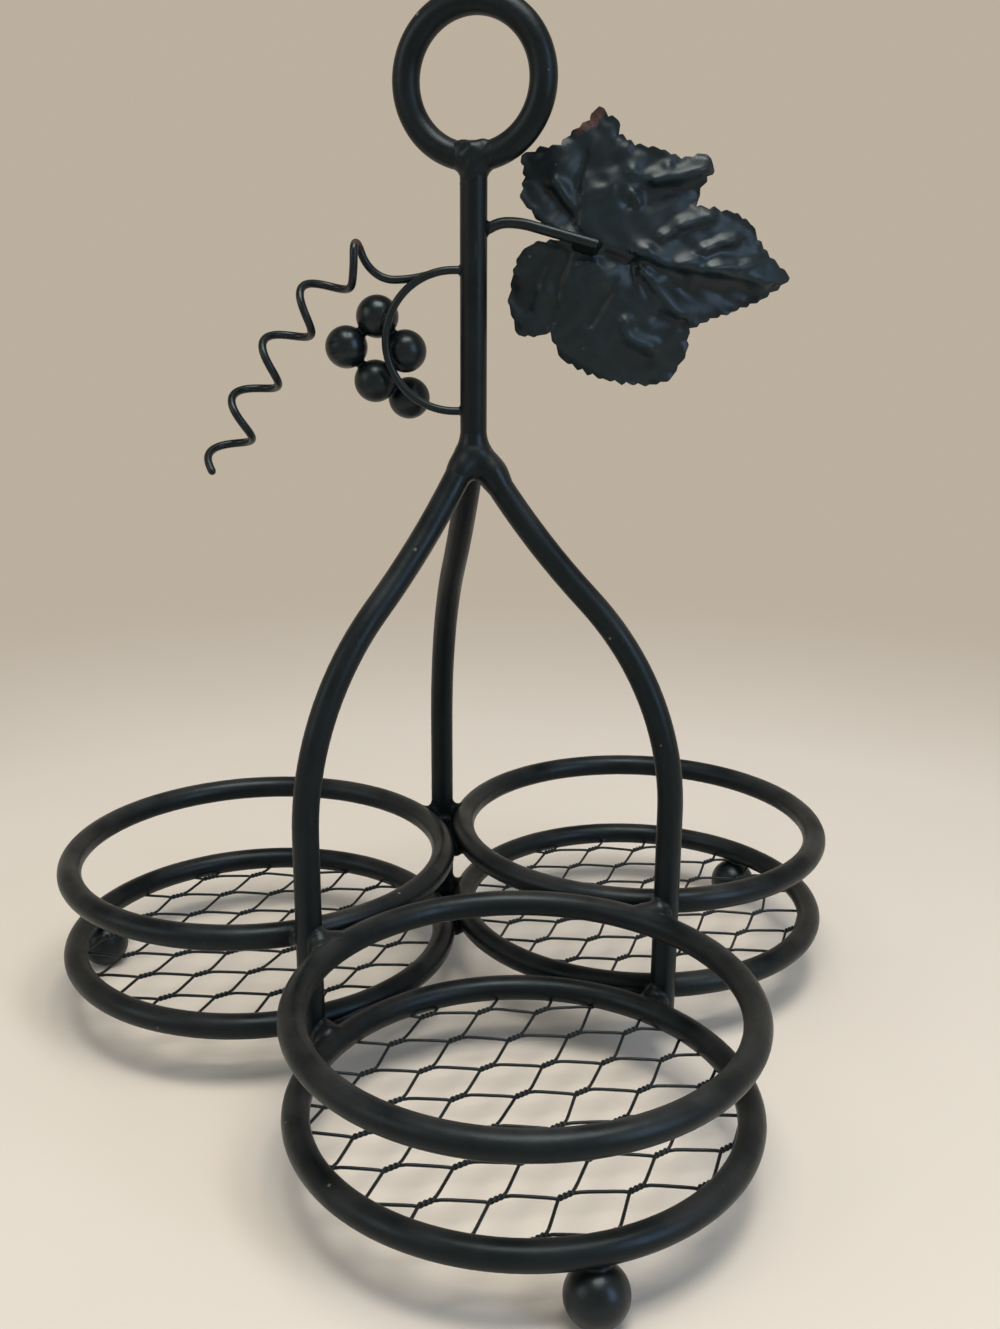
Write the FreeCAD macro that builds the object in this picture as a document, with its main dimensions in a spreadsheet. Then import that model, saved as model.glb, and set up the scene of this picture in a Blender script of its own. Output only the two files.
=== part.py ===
# Welded wire caddy for three bottles, with a grapevine ornament on its post.
# Millimetres, +Z up. The origin is on the post's axis, at the table that the feet stand on.
import FreeCAD
import Part
import Sketcher
import math
import os
from FreeCAD import Placement, Rotation, Vector

# Driving sizes: lengths in millimetres, angles in degrees.
SIZES = (
    # frame of round rod
    ("rod_diameter", 6.0),
    ("ring_radius", 48.0),
    ("ring_gap", 0.8),
    ("leg_gap", 0.8),
    ("ring_rise", 22.8),
    ("leg_straight", 26.0),
    ("leg_bend_radius", 68.0),
    ("leg_splay_angle", 46.0),
    ("leg_top_angle", 32.0),
    ("post_sink", 5.2),
    ("post_rise", 58.0),
    ("handle_radius", 15.5),
    # ball feet
    ("foot_diameter", 12.6),
    ("foot_flat_depth", 0.15),
    ("foot_gap", 0.3),
    ("foot_turn_angle", 4.0),
    # netting floor of each bottle ring
    ("net_drop", 2.0),
    ("net_thickness", 0.9),
    ("net_wire_width", 0.8),
    ("net_twist_width", 1.5),
    ("net_twist_length", 4.2),
    ("net_cell_width", 13.1),
    ("net_cell_pitch", 12.0),
    ("net_twist_angle", 52.8),
    ("net_shift_across", 1.35),
    ("net_shift_along", 3.26),
    # vine, grapes and tendril
    ("ornament_angle", 18.5),
    ("vine_diameter", 1.8),
    ("vine_radius", 15.3),
    ("vine_stub", 4.3),
    ("vine_height", 22.4),
    ("grape_diameter", 9.6),
    ("grape_gap", 0.2),
    ("grape_top_angle", 16.5),
    ("tendril_diameter", 1.8),
    ("tendril_coil_radius", 3.9),
    ("tendril_pitch", 14.0),
    ("tendril_turns", 4.25),
    ("tendril_droop_radius", 124.0),
    ("tendril_reach", 20.1),
    ("tendril_lift", 19.6),
    ("tendril_start_angle", 42.0),
    ("tendril_phase_angle", 161.0),
    ("tendril_climb_angle", 72.0),
    ("tendril_leave_angle", 72.0),
    # leaf and its stem
    ("stem_diameter", 2.4),
    ("stem_height", 47.7),
    ("stem_run", 7.5),
    ("stem_arch_rise", 1.0),
    ("stem_bend_radius", 20.0),
    ("stem_droop_angle", 15.0),
    ("stem_length", 14.8),
    ("leaf_reach", 43.8),
    ("leaf_thickness", 1.0),
    ("leaf_dome_radius", 110.0),
    ("leaf_droop_angle", 11.0),
    ("leaf_tooth_pitch", 3.4),
    ("leaf_tooth_depth", 0.9),
    # weld metal
    ("weld_gap", 0.15),
    ("frame_bead_radius", 2.7),
    ("frame_fillet_height", 5.4),
    ("frame_fillet_width", 2.6),
    ("foot_bead_radius", 2.2),
    ("wire_bead_radius", 1.5),
    ("seam_width", 2.4),
    ("seam_proud", 0.35),
    ("seam_turn_angle", 60.0),
    # how far a cutting solid runs past what it cuts
    ("cut_overrun", 5.0),
)

BOTTLES = 3
STEP_ANGLE = 360 / BOTTLES
RING_NAMES = ("right", "left", "front")
LEG_NAMES = ("right", "back", "left")

# Share of the rod's radius by which the post stops short of the handle's centre line.
POST_TOP_SHARE = 0.3
# Where the tendril dips, climbs and falls between the vine and its coil, as shares of the coil's pitch:
# short of the coil's start, and below it. It falls in front by a share of the coil's radius.
TENDRIL_DIP_SHARES = (0.48, 0.46)
TENDRIL_CLIMB_SHARES = (-0.03, 0.05)
TENDRIL_FALL_SHARES = (-0.11, 0.09)
TENDRIL_FRONT_SHARE = 0.75
# Ring by ring, which way round from the post its closing seam lies.
SEAM_SIDES = {"right": -1, "left": 1, "front": 1}
# Quarter turn of the coil that the fall runs into.
TENDRIL_FIRST_QUARTER = 2
# Part of a turn over which the coil's heading is taken, and the sine below which an arc counts as straight.
TURN_STEP = 1e-4
STRAIGHT_SINE = 1e-6

# Grape centres from the top grape, as shares of one grape and its gap: outwards, up, to the back.
GRAPE_SHARES = (
    ("grape_top", 0.0, 0.0, 0.0),
    ("grape_outer", 0.725, -0.688, 0.0),
    ("grape_inner", -0.635, -0.772, 0.0),
    ("grape_bottom", 0.077, -1.46, 0.08),
    ("grape_low", -0.671, -1.89, 0.6),
)
GRAPE_CONTACTS = ((0, 1), (0, 2), (1, 3), (2, 3), (3, 4))
# The top grape sits outside the vine's arc by this share of a grape.
GRAPE_OUTSIDE_SHARE = 0.3

# Leaf outline, lobe by lobe, as shares of the leaf's reach: along the midrib, and across it.
LEAF_SHARES = {
    "lower basal lobe": ((-0.13, 0.0), (-0.31, -0.055), (-0.365, -0.115), (-0.38, -0.22), (-0.37, -0.37),
                         (-0.295, -0.51), (-0.2, -0.495), (-0.14, -0.455)),
    "lower side lobe": ((-0.05, -0.585), (0.18, -0.64), (0.43, -0.625), (0.53, -0.575), (0.575, -0.43),
                        (0.56, -0.305)),
    "main lobe": ((0.66, -0.235), (0.76, -0.18), (0.9, -0.095), (1.035, 0.045), (0.9, 0.12), (0.81, 0.19),
                  (0.755, 0.255), (0.66, 0.285), (0.455, 0.28)),
    "upper side lobe": ((0.455, 0.37), (0.475, 0.43), (0.51, 0.465), (0.45, 0.535), (0.33, 0.485),
                        (0.22, 0.505), (0.09, 0.5), (0.0, 0.535), (-0.02, 0.6), (-0.07, 0.605),
                        (-0.125, 0.645), (-0.155, 0.575), (-0.235, 0.485), (-0.27, 0.43)),
    "upper basal lobe": ((-0.45, 0.35), (-0.415, 0.25), (-0.41, 0.145), (-0.3, 0.055)),
}
# The tooth's point along its own step, as a share of that step.
TOOTH_POINT_SHARE = 0.65

doc = FreeCAD.newDocument("bottle_caddy")
sheet = doc.addObject("Spreadsheet::Sheet", "sizes")
for row, (alias, amount) in enumerate(SIZES, start=1):
    sheet.set(f"A{row}", alias)
    sheet.set(f"B{row}", str(amount))
    sheet.setAlias(f"B{row}", alias)
doc.recompute()

# Places that follow from the driving sizes, each bound to them.
LAYOUT = (
    ("rod_radius", "sizes.rod_diameter / 2"),
    ("ring_offset", "(2 * sizes.ring_radius + sizes.rod_diameter + sizes.ring_gap) / sqrt(3)"),
    ("leg_reach", "sizes.ring_radius + sizes.rod_diameter + sizes.leg_gap"),
    ("leg_offset", "layout.ring_offset / 2 + sqrt(layout.leg_reach ^ 2 - 3 * layout.ring_offset ^ 2 / 4)"),
    ("foot_height", "sizes.foot_diameter / 2 - sizes.foot_flat_depth"),
    ("foot_top", "sizes.foot_diameter - sizes.foot_flat_depth"),
    ("lower_height", "layout.foot_top + sizes.foot_gap + layout.rod_radius"),
    ("upper_height", "layout.lower_height + sizes.ring_rise"),
    ("leg_foot", "layout.lower_height - layout.rod_radius"),
    ("bend_start", "layout.upper_height + sizes.leg_straight"),
    ("bend_across", "layout.leg_offset - sizes.leg_bend_radius * (1 - cos(sizes.leg_splay_angle))"),
    ("bend_height", "layout.bend_start + sizes.leg_bend_radius * sin(sizes.leg_splay_angle)"),
    ("sweep_radius", "layout.bend_across / (cos(sizes.leg_top_angle) - cos(sizes.leg_splay_angle))"),
    ("sweep_rise", "layout.sweep_radius * (sin(sizes.leg_splay_angle) - sin(sizes.leg_top_angle))"),
    ("crown_height", "layout.bend_height + layout.sweep_rise"),
    ("post_foot", "layout.crown_height - sizes.post_sink"),
    ("handle_foot", "layout.crown_height + sizes.post_rise"),
    ("handle_height", "layout.handle_foot + layout.rod_radius + sizes.handle_radius"),
    ("net_foot", "layout.lower_height - sizes.net_drop - sizes.net_thickness / 2"),
    ("vine_middle", "layout.crown_height + sizes.vine_height"),
    ("vine_top", "layout.vine_middle + sizes.vine_radius"),
    ("vine_bottom", "layout.vine_middle - sizes.vine_radius"),
    ("vine_edge", "sizes.vine_stub + sizes.vine_radius"),
    ("grape_step", "sizes.grape_diameter + sizes.grape_gap"),
    ("stem_level", "layout.crown_height + sizes.stem_height"),
    ("stem_arch_across", "sizes.stem_run / 2"),
    ("stem_arch_level", "layout.stem_level - sizes.stem_arch_rise"),
    ("stem_root_level", "layout.stem_arch_level - sizes.stem_arch_rise"),
    ("stem_arch_radius", "(layout.stem_arch_across ^ 2 + sizes.stem_arch_rise ^ 2)"
                         " / (2 * sizes.stem_arch_rise)"),
    ("stem_weld_level", "layout.stem_root_level + layout.stem_arch_radius"
                        " - sqrt(layout.stem_arch_radius ^ 2 - layout.rod_radius ^ 2)"),
    ("stem_bend_across", "sizes.stem_run + sizes.stem_bend_radius * sin(sizes.stem_droop_angle)"),
    ("stem_bend_height", "layout.stem_level - sizes.stem_bend_radius * (1 - cos(sizes.stem_droop_angle))"),
    ("leaf_across", "layout.stem_bend_across + sizes.stem_length * cos(sizes.stem_droop_angle)"),
    ("leaf_height", "layout.stem_bend_height - sizes.stem_length * sin(sizes.stem_droop_angle)"),
)
layout = doc.addObject("App::VarSet", "layout")
for place, rule in LAYOUT:
    layout.addProperty("App::PropertyFloat", place)
    layout.setExpression(place, rule)
doc.recompute()


def number(name):
    """Value of a named size or of a place that follows from the sizes."""
    if hasattr(layout, name):
        return float(getattr(layout, name))
    return float(sheet.get(name))


def ref(name):
    """The same name, as an expression."""
    return f"layout.{name}" if hasattr(layout, name) else f"sizes.{name}"


def bind(piece, **rules):
    """Bind properties of a piece; x, y and z stand for its place."""
    for name, rule in rules.items():
        target = f"Placement.Base.{name}" if name in ("x", "y", "z") else name
        piece.setExpression(target, rule)


def add(kind, label, **rules):
    piece = doc.addObject(kind, label)
    bind(piece, **rules)
    return piece


def cut(label, base, *tools):
    """Base minus each tool in turn; the last cut carries the label."""
    for index, tool in enumerate(tools, start=1):
        name = label if index == len(tools) else f"{label}_cut_{index}"
        step = doc.addObject("Part::Cut", name)
        step.Base = base
        step.Tool = tool
        base = step
    return base


def group(label, members):
    compound = doc.addObject("Part::Compound", label)
    compound.Links = members
    return compound


def upright_turn(angle):
    return Rotation(Vector(0, 0, 1), angle)


# Sketch paths for bent rod

def origin_plane(body, role):
    return next(plane for plane in body.Origin.OriginFeatures if plane.Role == role)


def attached_sketch(body, label, role):
    sketch = body.newObject("Sketcher::SketchObject", label)
    sketch.AttachmentSupport = [(origin_plane(body, role), "")]
    sketch.MapMode = "FlatFace"
    return sketch


def pin_point(sketch, geometry, end, across, height):
    """Hold one end of a sketch edge at named distances from the origin."""
    for kind, axis, name in (("DistanceX", -2, across), ("DistanceY", -1, height)):
        if name is None:
            sketch.addConstraint(Sketcher.Constraint("PointOnObject", geometry, end, axis))
        else:
            index = sketch.addConstraint(Sketcher.Constraint(kind, -1, 1, geometry, end, number(name)))
            sketch.setExpression(f"Constraints[{index}]", ref(name))


def sketch_arc(sketch, first, last, radius, turns_left):
    """Arc between two points; returns its index and which ends are first and last."""
    chord = last - first
    side = Vector(-chord.y, chord.x, 0).normalize()
    drop = math.sqrt(radius ** 2 - chord.Length ** 2 / 4)
    centre = first + chord / 2 + side * (drop if turns_left else -drop)
    start, stop = (first, last) if turns_left else (last, first)
    begin = math.atan2(start.y - centre.y, start.x - centre.x)
    finish = math.atan2(stop.y - centre.y, stop.x - centre.x)
    circle = Part.Circle(centre, Vector(0, 0, 1), radius)
    index = sketch.addGeometry(Part.ArcOfCircle(circle, begin, finish))
    return index, (1, 2) if turns_left else (2, 1)


def bent_rod(label, diameter, profile_plane, points, bends):
    """Round rod swept along straight runs and arcs of its body's upright XZ plane.

    Points are pairs of names, or None for zero. Each bend is None or (radius name, turns left)."""
    body = doc.addObject("PartDesign::Body", label)
    path = attached_sketch(body, f"{label}_path", "XZ_Plane")
    at = [Vector(number(x) if x else 0, number(z) if z else 0, 0) for x, z in points]
    for index, bend in enumerate(bends):
        first, last = at[index], at[index + 1]
        if bend is None:
            edge = path.addGeometry(Part.LineSegment(first, last))
            ends = (1, 2)
        else:
            edge, ends = sketch_arc(path, first, last, number(bend[0]), bend[1])
            radius = path.addConstraint(Sketcher.Constraint("Radius", edge, number(bend[0])))
            path.setExpression(f"Constraints[{radius}]", ref(bend[0]))
        pin_point(path, edge, ends[0], *points[index])
        pin_point(path, edge, ends[1], *points[index + 1])
    section = attached_sketch(body, f"{label}_section", profile_plane)
    upright = profile_plane == "XY_Plane"
    across, height = points[0]
    centre = Vector(at[0].x, 0, 0) if upright else Vector(0, at[0].y, 0)
    ring = section.addGeometry(Part.Circle(centre, Vector(0, 0, 1), number(diameter) / 2))
    if upright:
        pin_point(section, ring, 3, across, None)
        section.setExpression("AttachmentOffset.Base.z", ref(height))
    else:
        pin_point(section, ring, 3, None, height)
    size = section.addConstraint(Sketcher.Constraint("Diameter", ring, number(diameter)))
    section.setExpression(f"Constraints[{size}]", ref(diameter))
    doc.recompute()
    pipe = body.newObject("PartDesign::AdditivePipe", f"{label}_pipe")
    pipe.Profile = section
    pipe.Spine = (path, [f"Edge{index + 1}" for index in range(len(bends))])
    body.Tip = pipe
    return body


# Handle and post

handle = add("Part::Torus", "handle_ring", Radius1="sizes.handle_radius", Radius2="layout.rod_radius",
             z="layout.handle_height")
handle.Placement.Rotation = Rotation(Vector(1, 0, 0), 90)

post_rod = add("Part::Cylinder", "post_rod", Radius="layout.rod_radius", z="layout.post_foot",
               Height=f"layout.handle_height - sizes.handle_radius - layout.rod_radius * {POST_TOP_SHARE}"
                      " - layout.post_foot")
post = cut("center_post", post_rod, handle)

# Legs: each keeps to its own third of the circle at the crown, and ends on the post.

LEG_POINTS = (("leg_offset", "leg_foot"), ("leg_offset", "bend_start"), ("bend_across", "bend_height"),
              (None, "crown_height"))
LEG_BENDS = (None, ("leg_bend_radius", True), ("sweep_radius", False))
legs = []
for index, side in enumerate(LEG_NAMES):
    turn = index * STEP_ANGLE
    rod = bent_rod(f"leg_rod_{side}", "rod_diameter", "XY_Plane", LEG_POINTS, LEG_BENDS)
    rod.Placement = Placement(Vector(), upright_turn(turn))
    sector = add("Part::Cylinder", f"leg_sector_{side}",
                 Radius="layout.leg_offset + sizes.rod_diameter + sizes.cut_overrun",
                 Height="layout.crown_height + sizes.rod_diameter + sizes.cut_overrun")
    sector.Angle = STEP_ANGLE
    sector.Placement.Rotation = upright_turn(turn - STEP_ANGLE / 2)
    mitred = doc.addObject("Part::Common", f"leg_mitred_{side}")
    mitred.Base = rod
    mitred.Tool = sector
    legs.append(cut(f"leg_{side}", mitred, post_rod))

# Bottle rings, their netting and their feet

ring_angles = [STEP_ANGLE / 2 + index * STEP_ANGLE for index in range(BOTTLES)]


def on_circle(distance, angle):
    """Expressions for a point at a distance from the post's axis."""
    return {"x": f"({distance}) * cos({angle})", "y": f"({distance}) * sin({angle})"}


def bottle_ring(level, side, angle):
    return add("Part::Torus", f"{level}_ring_{side}", Radius1="sizes.ring_radius",
               Radius2="layout.rod_radius", z=f"layout.{level}_height",
               **on_circle("layout.ring_offset", angle))


rings = {level: [bottle_ring(level, side, angle) for side, angle in zip(RING_NAMES, ring_angles)]
         for level in ("lower", "upper")}


def net_cell(middle):
    """Outline of one gap of the netting: two twisted sides and four plain ones."""
    half_width = number("net_cell_width") / 2
    half_twist = number("net_twist_length") / 2
    apex = number("net_cell_pitch") - half_twist
    slope = (apex - half_twist) / half_width
    inset = number("net_wire_width") / 2 * math.hypot(1, slope)
    side = half_width - number("net_twist_width") / 2
    tip = apex - inset
    shoulder = tip - slope * side
    corners = ((0, tip), (-side, shoulder), (-side, -shoulder),
               (0, -tip), (side, -shoulder), (side, shoulder))
    points = [middle + Vector(across, along, 0) for across, along in corners]
    return Part.Face(Part.makePolygon(points + points[:1]))


def net_sheet():
    """Holed disc of netting, with the twists along Y, cut to reach into the ring's rod."""
    radius = number("ring_radius")
    width, pitch = number("net_cell_width"), number("net_cell_pitch")
    shift = Vector(number("net_shift_across"), number("net_shift_along"), 0)
    disc = Part.Face(Part.Wire(Part.makeCircle(radius)))
    rows = math.ceil(radius / pitch) + 1
    columns = math.ceil(radius / width) + 1
    gaps = []
    for row in range(-rows, rows + 1):
        for column in range(-columns, columns + 1):
            middle = shift + Vector((column + row % 2 / 2) * width, row * pitch, 0)
            if middle.Length < radius + pitch:
                gaps.append(net_cell(middle))
    holed = max(disc.cut(gaps).Faces, key=lambda face: face.Area)
    return holed.extrude(Vector(0, 0, number("net_thickness")))


netting = net_sheet()
nets = []
for side, angle, ring in zip(RING_NAMES, ring_angles, rings["lower"]):
    sheet_piece = doc.addObject("Part::Feature", f"net_sheet_{side}")
    sheet_piece.Shape = netting
    sheet_piece.Placement.Rotation = upright_turn(number("net_twist_angle") - 90)
    bind(sheet_piece, z="layout.net_foot", **on_circle("layout.ring_offset", angle))
    nets.append(cut(f"net_{side}", sheet_piece, ring))


def foot_place(angle):
    """Expressions for a foot's axis: under the ring's rod, a little round from its outermost point."""
    middle = on_circle("layout.ring_offset", angle)
    out = on_circle("sizes.ring_radius", f"{angle} + sizes.foot_turn_angle")
    return {axis: f"{middle[axis]} + {out[axis]}" for axis in middle}


feet = []
for side, angle in zip(RING_NAMES, ring_angles):
    place = foot_place(angle)
    ball = add("Part::Sphere", f"foot_sphere_{side}", Radius="sizes.foot_diameter / 2",
               z="layout.foot_height", **place)
    below = add("Part::Cylinder", f"foot_below_{side}", Radius="sizes.foot_diameter",
                Height="sizes.foot_diameter", z="-sizes.foot_diameter", **place)
    feet.append(cut(f"foot_ball_{side}", ball, below))

# Vine wire, on the side of the post away from the leaf

VINE_POINTS = ((None, "vine_top"), ("vine_stub", "vine_top"), ("vine_edge", "vine_middle"),
               ("vine_stub", "vine_bottom"), (None, "vine_bottom"))
VINE_BENDS = (None, ("vine_radius", False), ("vine_radius", False), None)
vine_turn = number("ornament_angle") + 180
vine_rod = bent_rod("vine_rod", "vine_diameter", "YZ_Plane", VINE_POINTS, VINE_BENDS)
vine_rod.Placement = Placement(Vector(), upright_turn(vine_turn))
vine = cut("vine_wire", vine_rod, post_rod)


def on_vine_side(outwards, back, up):
    """Expressions for a place on the vine's side: outwards from the post, to the back, and up."""
    turn = "sizes.ornament_angle"
    return {"x": f"-({outwards}) * cos({turn}) - ({back}) * sin({turn})",
            "y": f"-({outwards}) * sin({turn}) + ({back}) * cos({turn})",
            "z": up}


# Grapes, in a ring behind the vine wire, which the top one touches

GRAPE_REACH = f"(sizes.vine_radius + layout.grape_step * {GRAPE_OUTSIDE_SHARE})"
GRAPE_BACK = ("sqrt((sizes.grape_diameter / 2 + sizes.vine_diameter / 2 + sizes.weld_gap) ^ 2"
              f" - (layout.grape_step * {GRAPE_OUTSIDE_SHARE}) ^ 2)")


def grape_place(outwards_share, up_share, back_share):
    outwards = (f"sizes.vine_stub + {GRAPE_REACH} * cos(sizes.grape_top_angle)"
                f" + layout.grape_step * ({outwards_share})")
    up = f"layout.vine_middle + {GRAPE_REACH} * sin(sizes.grape_top_angle) + layout.grape_step * ({up_share})"
    back = f"{GRAPE_BACK} + layout.grape_step * ({back_share})"
    return on_vine_side(outwards, back, up)


grapes = [add("Part::Sphere", label, Radius="sizes.grape_diameter / 2", **grape_place(*shares))
          for label, *shares in GRAPE_SHARES]


# Tendril: one wire, bent as pairs of arcs through the points of a drooping helix

def unit(vector):
    return vector / vector.Length


def arc_from(first, heading, last):
    """Arc that leaves first along heading and ends at last."""
    chord = last - first
    along = unit(chord)
    side = heading - along * heading.dot(along)
    if side.Length < STRAIGHT_SINE:
        return Part.LineSegment(first, last).toShape()
    half_turn = heading.getAngle(chord)
    bulge = chord.Length / 2 * math.tan(half_turn / 2)
    return Part.Arc(first, first + chord / 2 + unit(side) * bulge, last).toShape()


def arc_pair(first, heading, last, final):
    """Two arcs that join smoothly, from first along heading to last along final."""
    gap = last - first
    both = heading + final
    square = 2 * (1 - heading.dot(final))
    lean = gap.dot(both)
    reach = (-lean + math.sqrt(lean ** 2 + square * gap.dot(gap))) / square
    join = (first + heading * reach + last - final * reach) / 2
    middle = unit(join - first - heading * reach)
    return [arc_from(first, heading, join), arc_from(join, middle, last)]


def tendril_axis(turns):
    """Place and heading of the coil's axis, which droops along an arc."""
    droop = number("tendril_droop_radius")
    start = math.radians(number("tendril_start_angle"))
    angle = start + turns * number("tendril_pitch") / droop
    outwards = number("tendril_reach") + number("vine_stub") + droop * (math.sin(angle) - math.sin(start))
    up = number("vine_middle") + number("tendril_lift") + droop * (math.cos(angle) - math.cos(start))
    return Vector(outwards, 0, up), angle


def tendril_point(turns):
    middle, angle = tendril_axis(turns)
    radius = number("tendril_coil_radius")
    phase = math.radians(number("tendril_phase_angle")) + 2 * math.pi * turns
    inwards = Vector(-math.sin(angle), 0, -math.cos(angle))
    back = Vector(0, -1, 0)
    return middle + inwards * radius * math.cos(phase) + back * radius * math.sin(phase)


def tendril_heading(turns):
    return unit(tendril_point(turns + TURN_STEP) - tendril_point(turns - TURN_STEP))


def tendril_path():
    """Arcs of the wire's centre line: behind the vine, through a dip, over a hairpin, and down the coil."""
    leave = math.radians(number("tendril_leave_angle"))
    behind = -(number("vine_diameter") + number("tendril_diameter")) / 2 - number("weld_gap")
    radius = number("vine_radius")
    start = Vector(number("vine_stub") + radius * math.cos(leave), behind,
                   number("vine_middle") + radius * math.sin(leave))
    coil, _ = tendril_axis(0)
    pitch = number("tendril_pitch")
    dip, climb, fall = [Vector(coil.x - short * pitch, behind, coil.z - below * pitch)
                        for short, below in (TENDRIL_DIP_SHARES, TENDRIL_CLIMB_SHARES, TENDRIL_FALL_SHARES)]
    fall.y = number("tendril_coil_radius") * TENDRIL_FRONT_SHARE
    level = Vector(1, 0, 0)
    start_heading = unit((dip - start) * 2 - level * (dip - start).dot(level))
    steep = math.radians(number("tendril_climb_angle"))
    stations = [(start, start_heading), (dip, level), (climb, Vector(math.cos(steep), 0, math.sin(steep))),
                (fall, Vector(0, 0, -1))]
    quarters = round(number("tendril_turns") * 4)
    for quarter in range(TENDRIL_FIRST_QUARTER, quarters + 1):
        turns = number("tendril_turns") * quarter / quarters
        stations.append((tendril_point(turns), tendril_heading(turns)))
    edges = []
    for (first, heading), (last, final) in zip(stations, stations[1:]):
        edges += arc_pair(first, heading, last, final)
    return edges


def least_self_gap(edges, diameter):
    """Least air between stretches of the wire that are over a half turn apart, on points."""
    points = []
    travel = 0.0
    for edge in edges:
        for place in edge.discretize(8)[:-1]:
            points.append((travel, place))
        travel += edge.Length
    apart = math.pi * number("tendril_coil_radius")
    return min((a - b).Length - diameter for s, a in points for t, b in points if t - s > apart)


tendril_edges = tendril_path()
tendril_width = number("tendril_diameter")
start_edge = tendril_edges[0]
tendril_section = Part.Wire(Part.makeCircle(tendril_width / 2, start_edge.Vertexes[0].Point,
                                            start_edge.tangentAt(start_edge.FirstParameter)))
tendril = doc.addObject("Part::Feature", "tendril")
tendril.Shape = Part.Wire(tendril_edges).makePipeShell([tendril_section], True, False)
tendril.Placement = Placement(Vector(), upright_turn(vine_turn))
tendril_length = sum(edge.Length for edge in tendril_edges)
tendril_ideal = math.pi * tendril_width ** 2 / 4 * tendril_length
print("tendril length", round(tendril_length, 1),
      "volume over section times length", round(tendril.Shape.Volume / tendril_ideal, 4),
      "least radius", round(min(edge.Curve.Radius for edge in tendril_edges), 2),
      "least gap", round(least_self_gap(tendril_edges, tendril_width), 2))

# Leaf stem and leaf

# The stem leaves the post in a small arch, runs level, and droops to the leaf.
STEM_POINTS = ((None, "stem_root_level"), ("stem_arch_across", "stem_arch_level"), ("stem_run", "stem_level"),
               ("stem_bend_across", "stem_bend_height"), ("leaf_across", "leaf_height"))
STEM_BENDS = (("stem_arch_radius", True), ("stem_arch_radius", False), ("stem_bend_radius", False), None)
leaf_turn = number("ornament_angle")
stem_rod = bent_rod("stem_rod", "stem_diameter", "YZ_Plane", STEM_POINTS, STEM_BENDS)
stem_rod.Placement = Placement(Vector(), upright_turn(leaf_turn))
stem = cut("leaf_stem", stem_rod, post_rod)


def toothed(first, last):
    """Points from first up to last, with saw teeth that stand outside the edge."""
    edge = last - first
    count = max(1, round(edge.Length / number("leaf_tooth_pitch")))
    outside = Vector(edge.z, 0, -edge.x).normalize() * number("leaf_tooth_depth")
    points = []
    for tooth in range(count):
        step = tooth + TOOTH_POINT_SHARE
        taper = min(1, step, count - step)
        points.append(first + edge * (tooth / count))
        points.append(first + edge * (step / count) + outside * taper)
    return points


def leaf_outline():
    """Toothed outline round the stem's end, in the leaf's own upright plane."""
    droop = math.radians(number("leaf_droop_angle"))
    reach = number("leaf_reach")
    corners = []
    for lobe in LEAF_SHARES.values():
        for along, across in lobe:
            corners.append(Vector(along * math.cos(droop) + across * math.sin(droop), 0,
                                  across * math.cos(droop) - along * math.sin(droop)) * reach)
    points = []
    for first, last in zip(corners, corners[1:] + corners[:1]):
        points += toothed(first, last)
    return Part.makePolygon(points + points[:1])


def leaf_shape():
    """Domed sheet: the toothed outline, run through the wall of a large sphere behind it."""
    radius = number("leaf_dome_radius")
    thickness = number("leaf_thickness")
    depth = number("leaf_reach") ** 2 / radius + thickness
    overrun = number("cut_overrun")
    middle = Vector(0, radius, 0)
    dome = Part.makeSphere(radius, middle).cut(Part.makeSphere(radius - thickness, middle))
    prism = Part.Face(leaf_outline()).extrude(Vector(0, depth + overrun, 0))
    prism.translate(Vector(0, -overrun, 0))
    return prism.common(dome).Solids[0]


leaf = doc.addObject("Part::Feature", "leaf")
leaf.Shape = leaf_shape()
leaf_back = number("stem_diameter") / 2 + number("weld_gap")
leaf.Placement = Placement(upright_turn(leaf_turn).multVec(Vector(number("leaf_across"), leaf_back,
                                                                   number("leaf_height"))),
                           upright_turn(leaf_turn))

# Weld metal: beads shaped by the pieces that they join

handle_flare = add("Part::Cone", "handle_flare", Radius1="layout.rod_radius + sizes.weld_gap",
                   Radius2="layout.rod_radius + sizes.frame_fillet_width", Height="sizes.frame_fillet_height",
                   z="layout.handle_foot - sizes.frame_fillet_height / 2")
handle_weld = cut("handle_weld", handle_flare, post, handle)

crown_flare = add("Part::Cone", "crown_flare", Radius1="layout.rod_radius + sizes.frame_fillet_width",
                  Radius2="layout.rod_radius + sizes.weld_gap", Height="sizes.frame_fillet_height",
                  z="layout.crown_height - sizes.frame_fillet_height / 2")
crown_weld = cut("crown_weld", crown_flare, post, *legs)


def ring_leg_beads(level):
    """Beads in the narrow gaps where each leg passes between two rings."""
    beads = []
    for leg_index, side in enumerate(LEG_NAMES):
        leg_angle = leg_index * STEP_ANGLE
        for turn in (-STEP_ANGLE / 2, STEP_ANGLE / 2):
            ring_angle = leg_angle + turn
            share = "(sizes.ring_radius + layout.rod_radius + sizes.leg_gap / 2) / layout.leg_reach"
            place = {}
            for axis, wave in (("x", "cos"), ("y", "sin")):
                ring_at = f"layout.ring_offset * {wave}({ring_angle})"
                leg_at = f"layout.leg_offset * {wave}({leg_angle})"
                place[axis] = f"{ring_at} + ({leg_at} - {ring_at}) * {share}"
            bead = add("Part::Sphere", f"{level}_bead_{side}_{len(beads)}", Radius="sizes.frame_bead_radius",
                       z=f"layout.{level}_height", **place)
            bead.Placement.Rotation = upright_turn(leg_angle)
            beads.append(bead)
    return group(f"{level}_beads", beads)


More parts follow.
